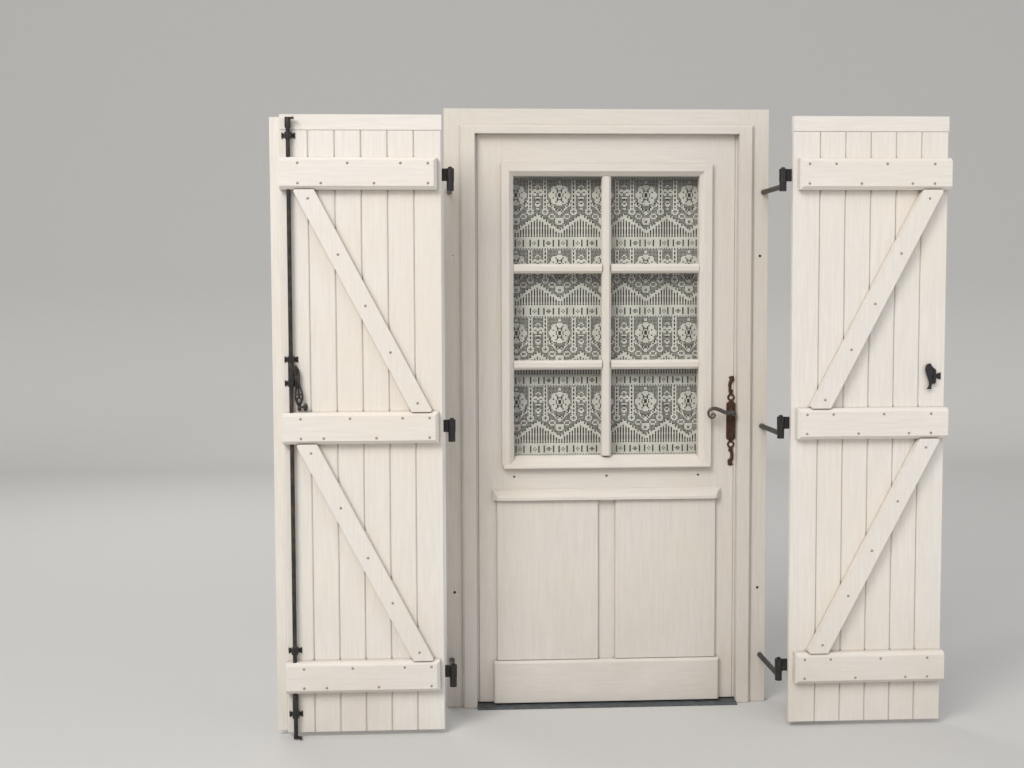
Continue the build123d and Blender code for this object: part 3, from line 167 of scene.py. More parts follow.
class Finish:
    """A new material with its shader, and short ways to add and join nodes."""

    def __init__(self, name, **sockets):
        self.material = bpy.data.materials.new(name)
        self.material.use_nodes = True
        self.tree = self.material.node_tree
        self.shader = self.tree.nodes["Principled BSDF"]
        self.output = self.tree.nodes["Material Output"]
        for socket, value in sockets.items():
            self.set(self.shader, socket.replace("_", " "), value)

    def set(self, node, socket, value):
        target = node.inputs[socket]
        if isinstance(value, bpy.types.NodeSocket):
            self.tree.links.new(value, target)
        elif hasattr(value, "__len__") and len(value) == 3 and len(target.default_value) == 4:
            target.default_value = (*value, 1)
        else:
            target.default_value = value

    def add(self, kind, inputs=(), **properties):
        node = self.tree.nodes.new(kind)
        for name, value in properties.items():
            setattr(node, name, value)
        for socket, value in dict(inputs).items():
            self.set(node, socket, value)
        return node

    def place(self, scale=(1, 1, 1), turn=(0, 0, 0)):
        """Object coordinates, turned and then stretched so a pattern can follow the grain."""
        coordinates = self.add("ShaderNodeTexCoord").outputs["Object"]
        inputs = {"Vector": coordinates, "Rotation": turn, "Scale": scale}
        return self.add("ShaderNodeMapping", inputs).outputs["Vector"]

    def noise(self, place, scale, detail=4.0, roughness=0.55):
        inputs = {"Vector": place, "Scale": scale, "Detail": detail, "Roughness": roughness}
        return self.add("ShaderNodeTexNoise", inputs).outputs["Fac"]

    def ramp(self, factor, low, high, start=0.0, end=1.0):
        """The factor remapped so that low gives start and high gives end."""
        inputs = {
            "Value": factor, "From Min": low, "From Max": high, "To Min": start, "To Max": end,
        }
        return self.add("ShaderNodeMapRange", inputs, clamp=True).outputs["Result"]

    def times(self, first, second):
        return self.add("ShaderNodeMath", {0: first, 1: second}, operation="MULTIPLY").outputs[0]

    def mix(self, factor, first, second):
        node = self.add("ShaderNodeMix", data_type="RGBA")
        self.set(node, 0, factor)
        self.set(node, 6, first)
        self.set(node, 7, second)
        return node.outputs[2]

    def bump(self, height, distance, strength=1.0, normal=None):
        inputs = {"Height": height, "Distance": distance, "Strength": strength}
        if normal is not None:
            inputs["Normal"] = normal
        return self.add("ShaderNodeBump", inputs).outputs["Normal"]

    def crevice(self, distance):
        """1 in the open and towards 0 in corners and joints."""
        node = self.add("ShaderNodeAmbientOcclusion", {"Distance": distance}, samples=4)
        return node.outputs["AO"]

    def seen_through(self, kind, ray, inputs):
        """The shader as it is, but another shader for one kind of ray."""
        ray = self.add("ShaderNodeLightPath").outputs[ray]
        other = self.add(kind, inputs)
        sockets = {0: ray, 1: self.shader.outputs[0], 2: other.outputs[0]}
        blend = self.add("ShaderNodeMixShader", sockets)
        self.set(self.output, "Surface", blend.outputs[0])


def dulled(colour, share):
    return tuple(channel * share for channel in colour)


def painted_wood(name, paint, grain, turn=(0, 0, 0), nailed=False):
    """Brushed paint over softwood, with painted shade and dirt darkening its joints, and chips
    along the grain.
    """
    woodwork = bpy.context.scene.door_woodwork
    finish = Finish(name, IOR=1.45)
    along = finish.place(grain, turn)
    whole = finish.place()
    streaks = finish.noise(along, scale=9.0, detail=5.0, roughness=0.6)
    fine = finish.noise(along, scale=34.0, detail=3.0, roughness=0.6)
    clouds = finish.noise(whole, scale=2.3, detail=5.0, roughness=0.6)
    # Brush streaks, and yellowing in clouds
    colour = finish.mix(finish.ramp(streaks, low=0.35, high=0.68), paint, dulled(paint, 0.91))
    red, green, blue = paint
    warm = (red * 0.97, green * 0.93, blue * 0.84)
    colour = finish.mix(finish.ramp(clouds, low=0.42, high=0.75, end=0.6), colour, warm)
    # Rain splash below half a metre
    height = finish.add("ShaderNodeSeparateXYZ", {"Vector": whole}).outputs["Z"]
    splash = finish.times(
        finish.ramp(height, low=0.5, high=0.0),
        finish.ramp(clouds, low=0.35, high=0.7, start=0.15, end=0.6),
    )
    splashed = tuple(0.5 * clean + 0.5 * dirt for clean, dirt in zip(paint, woodwork.grime_and_shade))
    colour = finish.mix(splash, colour, splashed)
    # Painted shade and dirt in joints: darker where the wood closes in round a corner or joint
    unshaded_share = finish.crevice(distance=0.012)
    dust_and_shade = finish.times(
        finish.ramp(unshaded_share, low=0.75, high=0.3),
        finish.ramp(fine, low=0.3, high=0.6, start=0.35, end=0.8),
    )
    colour = finish.mix(dust_and_shade, colour, woodwork.grime_and_shade)
    # Chipped paint
    flakes = finish.noise(along, scale=21.0, detail=6.0, roughness=0.75)
    chips = finish.times(finish.ramp(flakes, low=0.735, high=0.76), 0.5)
    colour = finish.mix(chips, colour, BARE_WOOD)
    # Rust stains round the nails, and painted shade in the same brown where ledges and braces meet
    # the boards
    if nailed:
        nail_stain_and_shade = finish.ramp(finish.crevice(distance=0.0035), low=0.8, high=0.45, end=0.45)
        colour = finish.mix(nail_stain_and_shade, colour, NAIL_STAIN_AND_SHADE)
    finish.set(finish.shader, "Base Color", colour)
    gloss = finish.ramp(streaks, low=0.3, high=0.7, start=0.42, end=0.6)
    finish.set(finish.shader, "Roughness", gloss)
    eased = finish.add("ShaderNodeBevel", {"Radius": EASED_EDGE}, samples=4).outputs["Normal"]
    marks = finish.bump(streaks, woodwork.brush_depth * 2, strength=0.6, normal=eased)
    marks = finish.bump(fine, woodwork.brush_depth, strength=0.5, normal=marks)
    relief = finish.bump(chips, distance=0.0003, strength=0.6, normal=marks)
    finish.set(finish.shader, "Normal", relief)
    return finish.material


def forged_iron(name, base, worn, wear, metallic=0.0, roughness=0.5, pitch=180.0):
    """Metal with hammer marks, and wear that spreads in patches."""
    finish = Finish(name, Metallic=metallic)
    whole = finish.place()
    hammer = finish.noise(whole, scale=pitch, detail=3.0)
    patches = finish.noise(whole, scale=pitch * 0.35, detail=6.0, roughness=0.7)
    spread = finish.ramp(patches, low=0.62 - wear * 0.35, high=0.72 - wear * 0.2)
    colour = finish.mix(finish.ramp(hammer, low=0.3, high=0.7), dulled(base, 0.45), base)
    colour = finish.mix(finish.times(spread, 0.85), colour, worn)
    finish.set(finish.shader, "Base Color", colour)
    polish = finish.ramp(
        hammer, low=0.3, high=0.7, start=roughness - 0.12, end=roughness + 0.15
    )
    finish.set(finish.shader, "Roughness", polish)
    dents = finish.bump(hammer, distance=0.0006, strength=0.7)
    relief = finish.bump(spread, distance=0.0002, strength=0.5, normal=dents)
    finish.set(finish.shader, "Normal", relief)
    return finish.material


def give(material, *nodes):
    """Puts a material on CAD nodes, which keep their shape."""
    for node in nodes:
        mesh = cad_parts[node].data
        mesh.materials.clear()
        mesh.materials.append(material)


def new_piece(name, bm, body, material, smooth=False):
    """A finished piece from a bmesh: its place is in its mesh, and it rides on a body."""
    bmesh.ops.remove_doubles(bm, verts=bm.verts, dist=1e-6)
    for face in bm.faces:
        face.smooth = smooth
    mesh = bpy.data.meshes.new(name)
    bm.to_mesh(mesh)
    bm.free()
    mesh.materials.append(material)
    piece = bpy.data.objects.new(name, mesh)
    bpy.context.collection.objects.link(piece)
    if body:
        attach(piece, body)
    return piece


# Forged, turned and fastened shapes

# A screw head's taper, half its slot's width and its slot's depth, as shares of its size
HEAD_TAPER, SLOT_HALF, SLOT_DEPTH = 0.74, 0.15, 0.5
# Radius and height of the screws' heads
GUIDE_SCREW = (0.0034, 0.0015)
CATCH_SCREW = (0.0028, 0.0013)
STRIKE_SCREW = (0.0034, 0.0007)
HINGE_SCREW = (0.0036, 0.0012)
PLATE_SCREW = (0.0036, 0.0016)


def edges_of(verts):
    """Each edge of the vertices, once."""
    return list(dict.fromkeys(edge for vert in verts for edge in vert.link_edges))


def smooth_path(stations, steps):
    """Points on a smooth curve through the stations, each (x, y, z, half width)."""
    last = len(stations) - 1
    points = []
    for index in range(last):
        before, here, after, beyond = (
            Vector(stations[min(max(index + offset, 0), last)]) for offset in (-1, 0, 1, 2)
        )
        for step in range(steps):
            t = step / steps
            points.append(
                0.5 * (
                    2 * here + (after - before) * t
                    + (2 * before - 5 * here + 4 * after - beyond) * t**2
                    + (3 * here - before - 3 * after + beyond) * t**3
                )
            )
    points.append(Vector(stations[-1]))
    return points


def drawn_bar(bm, stations, depth, sides=12, steps=4):
    """A bar forged along its stations; depth is half its thickness in Y."""
    points = smooth_path(stations, steps)
    ring = bmesh.ops.create_circle(bm, cap_ends=True, segments=sides, radius=1)["verts"]
    rim = edges_of(ring)
    placed = Matrix()
    for index, point in enumerate(points):
        ahead = points[min(index + 1, len(points) - 1)].xyz - points[max(index - 1, 0)].xyz
        along = ahead.normalized()
        side = along.cross(Vector((0, 1, 0))).normalized()
        out = side.cross(along)
        here = Matrix((side * point.w, out * depth, along)).transposed().to_4x4()
        here.translation = point.xyz
        if index:
            drawn = bmesh.ops.extrude_edge_only(bm, edges=rim)["geom"]
            ring = [item for item in drawn if isinstance(item, bmesh.types.BMVert)]
            edges = [item for item in drawn if isinstance(item, bmesh.types.BMEdge)]
            rim = [edge for edge in edges if all(vert in ring for vert in edge.verts)]
        bmesh.ops.transform(bm, matrix=here @ placed.inverted(), verts=ring)
        placed = here
    bmesh.ops.edgeloop_fill(bm, edges=rim)


def turned_boss(bm, middle, radius, start, end, ease):
    """A round boss along Y between two places, with eased rims."""
    boss = bmesh.ops.create_cone(
        bm, cap_ends=True, segments=32, radius1=radius, radius2=radius, depth=abs(end - start)
    )["verts"]
    centre = Matrix.Translation((middle.x, (start + end) / 2, middle.z))
    bmesh.ops.transform(bm, matrix=centre @ Matrix.Rotation(pi / 2, 4, "X"), verts=boss)
    rims = [
        edge for edge in edges_of(boss)
        if abs(edge.verts[0].co.y - edge.verts[1].co.y) < 1e-6
    ]
    bmesh.ops.bevel(
        bm, geom=rims, offset=ease, offset_type="OFFSET", segments=3, profile=0.5,
        affect="EDGES", material=-1,
    )


def lump(bm, middle, reach):
    """A hammered lump; reach is half its size along each axis."""
    ball = bmesh.ops.create_icosphere(bm, subdivisions=3, radius=1)["verts"]
    shape = Matrix.Translation(middle) @ Matrix.Diagonal((*reach, 1))
    bmesh.ops.transform(bm, matrix=shape, verts=ball)


def stations_from(middle, rows):
    """Stations in metres from rows of millimetres (x, z, half width) about a middle."""
    return [
        (middle.x + x * 0.001, middle.y, middle.z + z * 0.001, width * 0.001)
        for x, z, width in rows
    ]


def slotted_screws(name, places, outwards, size, body, material):
    """Round-headed screws with a slot, standing on the places and facing outwards."""
    radius, rise = size
    bm = bmesh.new()
    facing = Vector(outwards).to_track_quat("Z", "Y").to_matrix().to_4x4()
    for number, place in enumerate(places):
        head = bmesh.new()
        bmesh.ops.create_cone(
            head, cap_ends=True, segments=20, radius1=radius, radius2=radius * HEAD_TAPER,
            depth=rise,
        )
        for side in (-1, 1):
            bmesh.ops.bisect_plane(
                head, geom=[*head.verts, *head.edges, *head.faces], dist=1e-7,
                plane_co=(side * radius * SLOT_HALF, 0, 0), plane_no=(1, 0, 0),
            )
        groove = [
            face for face in head.faces
            if face.normal.z > 0.9 and abs(face.calc_center_median().x) < radius * SLOT_HALF / 2
        ]
        for face in bmesh.ops.extrude_discrete_faces(head, faces=groove)["faces"]:
            bmesh.ops.translate(head, vec=(0, 0, -rise * SLOT_DEPTH), verts=face.verts)
        # Each slot stops at an angle of its own
        driven = Matrix.Rotation(0.7 * number + 0.4, 4, "Z") @ Matrix.Translation((0, 0, rise / 2))
        seat = Matrix.Translation(place) @ facing @ driven
        bmesh.ops.transform(head, matrix=seat, verts=head.verts)
        screw = bpy.data.meshes.new("screw")
        head.to_mesh(screw)
        head.free()
        bm.from_mesh(screw)
        bpy.data.meshes.remove(screw)
    new_piece(name, bm, body, material)


class PaintDoor(Operator):
    """Paint the leaf, its glazing bars and mouldings, and the frame, in the shutters' white made
    darker as painted shade
    """

    bl_idname = "door.paint_door"
    bl_label = "Paint door and frame"

    def execute(self, context):
        # The same paint as the shutters, darker as painted shade
        white = tuple(context.scene.door_woodwork.door_white_in_shade)
        upright = painted_wood("door_paint_upright_shaded", white, UPRIGHT_GRAIN)
        level = painted_wood("door_paint_level_shaded", white, LEVEL_GRAIN)
        give(
            upright, "frame_left_jamb", "frame_right_jamb", "hinge_stile", "lock_stile",
            "lower_muntin", "left_panel", "right_panel", "casing_left", "casing_right", "mullion",
        )
        give(
            level, "frame_head", "top_rail", "lock_rail", "bottom_rail", "plinth_board",
            "drip_moulding", "glazing_sill", "casing_head", "cross_bars", "glazing_beads",
        )
        return {"FINISHED"}


class PaintShutters(Operator):
    """Paint the shutters, each piece brushed along its grain"""

    bl_idname = "door.paint_shutters"
    bl_label = "Paint shutters"

    def execute(self, context):
        white = tuple(context.scene.door_woodwork.shutter_white)
        upright = painted_wood("shutter_paint_upright", white, UPRIGHT_GRAIN)
        level = painted_wood("shutter_paint_level", white, LEVEL_GRAIN, nailed=True)
        give(upright, "left_boards", "right_boards", "cover_batten")
        give(level, "left_ledges", "right_ledges", "left_header", "right_header")
        for side, turn in (("left", BRACE_LEAN), ("right", -BRACE_LEAN)):
            slanted = painted_wood(
                f"shutter_paint_{side}_brace", white, UPRIGHT_GRAIN, (0, turn, 0), nailed=True
            )
            give(slanted, f"{side}_braces")
        return {"FINISHED"}


class FinishIronwork(Operator):
    """Blacken the straps, pintles and espagnolette, and weather the nails"""

    bl_idname = "door.finish_ironwork"
    bl_label = "Finish ironwork"

    # The handle's strands: (x, z, half width) in millimetres from its pivot
    strands = (
        ((-3, 4, 5), (-2, -8, 6.5), (1, -24, 5.5), (0, -44, 4.2), (2, -65, 3.0), (0, -84, 3.0),
         (0, -99, 3.4), (4, -112, 4.0), (10, -123, 5.0)),
        ((1, 6, 4), (8, -10, 5.5), (11, -27, 5.0), (11, -44, 4.4), (15, -63, 3.2), (21, -82, 3.0),
         (23, -98, 3.2), (19, -111, 4.0), (12, -123, 5.0)),
        ((5, -26, 4.5), (7, -52, 4.0), (9, -71, 3.0), (10, -85, 3.6)),
        ((1, -90, 2.4), (11, -87, 3.0), (22, -91, 2.4)),
        ((10, -86, 2.6), (11, -95, 3.0), (6, -102, 2.4), (3, -108, 2.4)),
        ((11, -95, 2.6), (16, -102, 2.4), (20, -108, 2.4)),
        ((11, -119, 6.2), (12, -128, 5.5), (12, -136, 4.0)),
        ((12, -130, 3.0), (23, -129, 3.2), (32, -129, 4.5)),
    )
    # The handle's twin knob: middle from the pivot, and reach
    knobs = (
        ((0.012, 0, -0.1345), (0.007, 0.0055, 0.0105)),
        ((0.032, 0, -0.1305), (0.0078, 0.0055, 0.0142)),
    )
    pivot_inset = 0.0075
    strand_depth = 0.0042
    # Heights of the rod's three guides between its end guides
    inner_guides = (0.299, 1.196, 1.275)
    plate_thickness = 0.003

    def execute(self, context):
        iron = context.scene.door_iron
        paint, rust = tuple(iron.iron_black), tuple(iron.rust)
        black = forged_iron("black_iron", paint, rust, 0.12, roughness=0.42)
        rod = forged_iron("rod_iron", paint, (0.07, 0.045, 0.028), 0.5, pitch=120)
        nails = forged_iron(
            "weathered_nails", (0.5, 0.43, 0.36), rust, 0.3, metallic=0.1, roughness=0.6, pitch=900
        )
        steel = forged_iron(
            "hinge_steel", (0.42, 0.41, 0.4), (0.2, 0.15, 0.11), 0.1,
            metallic=0.9, roughness=0.35, pitch=260,
        )
        bright = forged_iron(
            "bolt_nickel", (0.66, 0.6, 0.5), (0.3, 0.25, 0.2), 0.05,
            metallic=0.95, roughness=0.3, pitch=260,
        )
        sill = forged_iron(
            "threshold_paint", (0.1, 0.115, 0.125), (0.06, 0.055, 0.05), 0.4,
            roughness=0.6, pitch=60,
        )
        give(
            black, "left_straps", "right_straps", "left_pintles", "right_pintles", "rod_guides",
            "left_strap_screws", "right_strap_screws", "catch_bracket", "handle_catch",
        )
        give(rod, "espagnolette_rod", "espagnolette_handle")
        give(nails, "left_nails", "right_nails")
        give(
            steel, "frame_hinges", "leaf_hinges", "hinge_pins", "strike_plate", "lock_case",
            "spindle", "curtain_rods",
        )
        give(bright, "latch_bolt", "deadbolt")
        give(sill, "threshold")
        self.forge_handle(rod)
        self.screw_down_rod(black)
        self.screw_down_strike_plate(steel)
        for node, body, side in (("leaf_hinges", "door_leaf", 1), ("frame_hinges", "frame", -1)):
            self.screw_down_hinges(node, body, side, steel)
        return {"FINISHED"}

    def forge_handle(self, iron):
        """The openwork drop handle: strands drawn together over a twin knob."""
        low, high = node_box("espagnolette_handle")
        inset = self.pivot_inset
        pivot = Vector((low.x + inset, (low.y + high.y) / 2, high.z - inset))
        bm = bmesh.new()
        for strand in self.strands:
            drawn_bar(bm, stations_from(pivot, strand), self.strand_depth)
        for middle, reach in self.knobs:
            lump(bm, pivot + Vector(middle), reach)
        handle = new_piece(
            "espagnolette_handle_forged", bm, "shutter_handle", iron, smooth=True
        )
        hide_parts("espagnolette_handle")

    def screw_down_rod(self, black):
        """Two screws in each of the rod's guides and in the catch's bracket."""
        low, high = node_box("rod_guides")
        plate_front = high.y - self.plate_thickness
        from_end, from_middle = 0.01, 0.0175
        middle_x = (low.x + high.x) / 2
        places = [
            (middle_x + side * from_middle, plate_front, z)
            for z in (low.z + from_end, *self.inner_guides, high.z - from_end)
            for side in (-1, 1)
        ]
        slotted_screws(
            "rod_guide_screws", places, (0, -1, 0), GUIDE_SCREW,
            "left_shutter", black,
        )
        low, high = node_box("catch_bracket")
        from_edge = 0.006
        places = [
            (high.x - from_edge, plate_front, (low.z + high.z) / 2 + side * from_edge)
            for side in (-1, 1)
        ]
        slotted_screws(
            "catch_bracket_screws", places, (0, -1, 0), CATCH_SCREW,
            "right_shutter", black,
        )

    def screw_down_strike_plate(self, steel):
        low, high = node_box("strike_plate")
        from_end, behind_middle = 0.009, 0.01
        y = (low.y + high.y) / 2 + behind_middle
        places = [(low.x, y, low.z + from_end), (low.x, y, high.z - from_end)]
        slotted_screws(
            "strike_plate_screws", places, (-1, 0, 0), STRIKE_SCREW, "frame", steel
        )

    def screw_down_hinges(self, node, body, side, steel):
        """Three screws in each flap of a node, set in a shallow V; side is its way along X."""
        low, high = node_box(node)
        from_edge, from_end, apart, stagger = 0.0125, 0.055, 0.038, 0.004
        x = high.x - from_edge if side > 0 else low.x + from_edge
        places = [
            (x + side * stagger * abs(step), low.y + self.plate_thickness, z + step * apart)
            for z in (low.z + from_end, (low.z + high.z) / 2, high.z - from_end)
            for step in (-1, 0, 1)
        ]
        slotted_screws(f"{node}_screws", places, (0, 1, 0), HINGE_SCREW, body, steel)


class FinishLock(Operator):
    """Rust the lock plates, forge the levers and add what is fixed to the plates"""

    bl_idname = "door.finish_lock"
    bl_label = "Finish lock"

    # The lever's arm and scroll: (x, z, half width) in millimetres from its axis
    arm = (
        (8, -1, 7.4), (-6, -1, 7.3), (-20, 0.5, 7.0), (-34, 6, 7.0), (-48, 12.5, 7.2),
        (-62, 17.5, 6.8), (-75, 18.8, 6.0), (-86, 13, 5.2), (-90.5, 3, 4.6), (-88, -8, 4.2),
        (-80, -15, 3.9), (-71, -14, 3.6), (-66.5, -7, 3.3), (-70, -0.5, 3.0), (-77, -2, 3.0),
        (-78.5, -6, 3.4), (-77.5, -8, 1.5),
    )
    # The leaves at the plate's ends, in the same way
    leaves = (
        ((1, 69, 4), (-1, 77, 8.5), (-4, 84, 6), (-4, 92, 4.6), (-5, 98, 5.6), (-3, 106, 6.2),
         (1, 113, 5.6), (4, 119, 8.2), (3, 124, 5.6), (3, 129, 7.2), (2, 131.5, 2.5)),
        ((0, -128, 4), (-2, -135, 8), (2, -141, 6.4), (5, -149, 4.6), (5, -157, 5.2),
         (4, -163, 6.2), (1, -170, 5.8), (-4, -176, 8.4), (-2, -182, 5.6), (-3, -188, 7.2),
         (-3, -191.5, 2.5)),
    )
    collar_radius, collar_depth = 0.011, 0.005
    neck_radius, hub_radius = 0.0068, 0.0098
    # How far the neck's end, the hub's back and the arm's middle lie behind the lever's tip
    neck_back, hub_back, arm_back = 0.012, 0.013, 0.0062
    arm_depth, leaf_depth, leaf_rise = 0.0052, 0.003, 0.0012
    # The axis above the plate's middle, and the keyhole and the screws from the axis
    axis_above, keyhole_below, screws_above = 0.0305, 0.078, (0.027, -0.098)
    # The keyhole's rim, and the boss above it
    rim_wire, rim_radius, rim_stretch = 0.0016, 0.0088, 1.35
    boss_above, boss_radius, boss_depth = 0.0135, 0.0042, 0.0024

    def execute(self, context):
        iron = context.scene.door_iron
        rust, worn = tuple(iron.rust), (0.07, 0.05, 0.035)
        rusted = forged_iron(
            "rusted_plate", (0.06, 0.026, 0.013), rust, 0.5,
            metallic=0.25, roughness=0.62, pitch=260,
        )
        pewter = forged_iron(
            "pewter_lever", tuple(iron.pewter), worn, 0.3, metallic=0.75, roughness=0.36, pitch=200
        )
        give(rusted, "outside_plate", "inside_plate")
        give(pewter, "outside_lever", "inside_lever")
        for side, outwards in (("outside", -1), ("inside", 1)):
            low, high = node_box(f"{side}_plate")
            face, seat = (low.y, high.y) if outwards < 0 else (high.y, low.y)
            lever_end = node_box(f"{side}_lever")[1].x
            height = (low.z + high.z) / 2 + self.axis_above
            axis = Vector((lever_end - self.collar_radius, face, height))
            self.forge_lever(side, outwards, axis, pewter)
            self.forge_leaves(side, outwards, axis, seat, rusted)
            self.rim_keyhole(side, outwards, axis, rusted)
            places = [axis + Vector((0, 0, above)) for above in self.screws_above]
            slotted_screws(
                f"{side}_plate_screws", places, (0, outwards, 0), PLATE_SCREW,
                "door_leaf", rusted,
            )
        return {"FINISHED"}

    def forge_lever(self, side, outwards, axis, pewter):
        """A collar on the plate, a neck and a hub, and the arm drawn into a scroll."""
        low, high = node_box(f"{side}_lever")
        face, tip = axis.y, low.y if outwards < 0 else high.y
        bm = bmesh.new()
        collar_front = face + outwards * self.collar_depth
        neck_end, hub_end = tip - outwards * self.neck_back, tip - outwards * self.hub_back
        turned_boss(bm, axis, self.collar_radius, face, collar_front, ease=0.0012)
        turned_boss(bm, axis, self.neck_radius, face, neck_end, ease=0.0008)
        turned_boss(bm, axis, self.hub_radius, hub_end, tip, ease=0.0022)
        middle = Vector((axis.x, tip - outwards * self.arm_back, axis.z))
        drawn_bar(bm, stations_from(middle, self.arm), self.arm_depth, sides=16)
        lever = new_piece(
            f"{side}_lever_forged", bm, "lever_set", pewter, smooth=True
        )
        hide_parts(f"{side}_lever")

    def forge_leaves(self, side, outwards, axis, seat, rusted):
        """The raised leaves over the plate's ends."""
        bm = bmesh.new()
        middle = Vector((axis.x, (axis.y + seat) / 2 + outwards * self.leaf_rise, axis.z))
        for leaf in self.leaves:
            drawn_bar(bm, stations_from(middle, leaf), self.leaf_depth, sides=10, steps=3)
        new_piece(f"{side}_plate_leaves", bm, "door_leaf", rusted, smooth=True)

    def rim_keyhole(self, side, outwards, axis, rusted):
        """A raised rim round the keyhole, with a small boss above it."""
        bm = bmesh.new()
        upright = Matrix.Rotation(pi / 2, 4, "X")
        wire = bmesh.ops.create_circle(bm, segments=10, radius=self.rim_wire)["verts"]
        aside = Matrix.Translation((self.rim_radius, 0, 0))
        bmesh.ops.transform(bm, matrix=aside @ upright, verts=wire)
        bmesh.ops.spin(
            bm, geom=[*bm.verts, *bm.edges], cent=(0, 0, 0), axis=(0, 0, 1), angle=2 * pi,
            steps=40, use_merge=True, use_duplicate=False,
        )
        keyhole = axis - Vector((0, 0, self.keyhole_below))
        stretch = Matrix.Diagonal((1, 1, self.rim_stretch, 1))
        bmesh.ops.transform(
            bm, matrix=Matrix.Translation(keyhole) @ stretch @ upright, verts=bm.verts
        )
        boss = keyhole + Vector((0, 0, self.boss_above))
        front = axis.y + outwards * self.boss_depth
        turned_boss(bm, boss, self.boss_radius, axis.y, front, ease=0.0008)
        new_piece(f"{side}_key_drop", bm, "door_leaf", rusted, smooth=True)


class GlazeLights(Operator):
    """Glaze the six lights with slightly uneven glass"""

    bl_idname = "door.glaze_lights"
    bl_label = "Glaze lights"

    def execute(self, context):
        finish = Finish("clear_glass", IOR=1.45, Roughness=0.02, Transmission_Weight=1.0)
        finish.set(finish.shader, "Base Color", (0.95, 0.97, 0.965))
        uneven = finish.noise(finish.place(), scale=4.0, detail=2.0)
        ripple = finish.bump(uneven, distance=0.0004, strength=0.35)
        finish.set(finish.shader, "Normal", ripple)
        clear = {"Color": (0.93, 0.95, 0.945)}
        finish.seen_through("ShaderNodeBsdfTransparent", "Is Shadow Ray", clear)
        give(finish.material, "glass_panes")
        return {"FINISHED"}


# Lace: which meshes of the net are worked solid, left as net, or left out

SOLID, NET, GAP = 1, 0, -1

# The chart, in meshes of the net: rows are counted down from the middle of an eyelet band
FIRST_COLUMN = 9
BAND_HALF = 3
EYELETS = (0, 4, 11, 15, 21, 26)
DIAMONDS = (7.5, 18, 29)
LADDER, LADDER_END = (4.0, 7.0), 26
FLOWER_ROW, BUD_ROW, HEART_ROW, HEM_ROW = 16.0, 6.5, 35.5, 46.5
GARLAND, GARLAND_SLITS = (9.0, 20.5, 0.0, 28.5), 13
# Column, row and radius of each curl beside the heart
CURLS = ((5.5, 31.5, 1.9), (10.5, 28.0, 1.7))


def near_line(x, y, x0, y0, x1, y1):
    """Distance from a point to a line between two others, and the share along it."""
    length = (x1 - x0) ** 2 + (y1 - y0) ** 2
    share = min(1, max(0, ((x - x0) * (x1 - x0) + (y - y0) * (y1 - y0)) / length))
    return sqrt((x - x0 - share * (x1 - x0)) ** 2 + (y - y0 - share * (y1 - y0)) ** 2), share


def rosette(x, y):
    """A flower of eight petals round an open ring."""
    reach, angle = sqrt(x * x + y * y), atan2(y, x)
    petal = 6.5 + 1.3 * abs(cos(4 * angle))
    if reach < 1.3:
        return GAP
    if reach < 2.4:
        return SOLID
    if reach < 3.2:
        return NET
    if reach < petal:
        return GAP if abs(cos(4 * angle)) < 0.3 and reach < petal - 1.2 else SOLID
    return NET


def scrolls(x, y):
    """Two curls that meet like a heart, over a drop and its stem."""
    reach = sqrt((abs(x) - 2.0) ** 2 + (y + 2.0) ** 2)
    if 1.0 < reach < 2.2 and not (abs(x) < 1.4 and y > -1.6):
        return SOLID
    if abs(x) < 1.2 + 0.9 * sin(y * 1.2) and 1.0 < y < 10.5:
        return SOLID if abs(x) > 0.6 or int(y) % 3 else GAP
    return SOLID if abs(abs(x) - 7.5 - y) < 0.6 and y < -5 else NET


def heart(x, y):
    x, y = x / 2.9, -y / 2.7
    inside = (x * x + y * y - 1) ** 3 - x * x * y**3 < 0
    return inside and not (x * x + y * y < 0.14)


def eyelet_band(column, away):
    if away < BAND_HALF and column in EYELETS:
        return GAP
    diamond = min(abs(column - middle) for middle in DIAMONDS) + away
    return NET if 0.4 < diamond < 1.6 else SOLID


def stitch(column, row, across, down):
    """What is worked at one mesh, counted from the left edge and down from an eyelet band."""
    u = (column + FIRST_COLUMN) % across
    v = row % down
    if v >= down - BAND_HALF:
        v -= down
    if abs(v) <= BAND_HALF:
        return eyelet_band(u, abs(v))
    if v == BAND_HALF + 1:
        return NET if u % 2 else SOLID
    # Ladders, with scrolls between them
    wide = u - across / 2 + 0.5
    narrow = wide - across / 2 if wide > 0 else wide + across / 2
    inner, outer = LADDER
    if v < LADDER_END and inner < abs(narrow) < outer:
        rung = inner + 1 <= abs(narrow) < outer - 1
        return GAP if rung and v % 3 else SOLID
    if v <= LADDER_END and abs(narrow) <= inner:
        return scrolls(narrow, v - FLOWER_ROW)
    # Flowers over a garland, and hearts and curls below it
    away, share = near_line(abs(wide), v, *GARLAND)
    slit = int(share * GARLAND_SLITS) % 2
    if v < 20 or v < 29 - abs(wide) * 0.8:
        if away < 0.8:
            return GAP if slit else SOLID
        if abs(wide) + abs(v - BUD_ROW) < 1.6:
            return SOLID
        return rosette(wide, v - FLOWER_ROW)
    scallop = 43.5 - 11.0 * abs(wide) / (across / 2) + 0.8 * abs(sin(pi * wide / 4))
    if v < scallop - 3.4:
        if away < 1.7:
            return GAP if slit and away <= 0.8 else SOLID
        if heart(wide, v - HEART_ROW):
            return SOLID
        curl = min(
            abs(sqrt((abs(wide) - middle) ** 2 + (v - level) ** 2) - radius)
            for middle, level, radius in CURLS
        )
        return SOLID if curl < 0.55 else NET
    # The scalloped edge, and stripes below it
    if v < scallop - 2.4:
        return GAP if column % 2 else SOLID
    if v < scallop or v > HEM_ROW:
        return SOLID
    return SOLID if column % 2 else (NET if v % 5 == 0 else GAP)


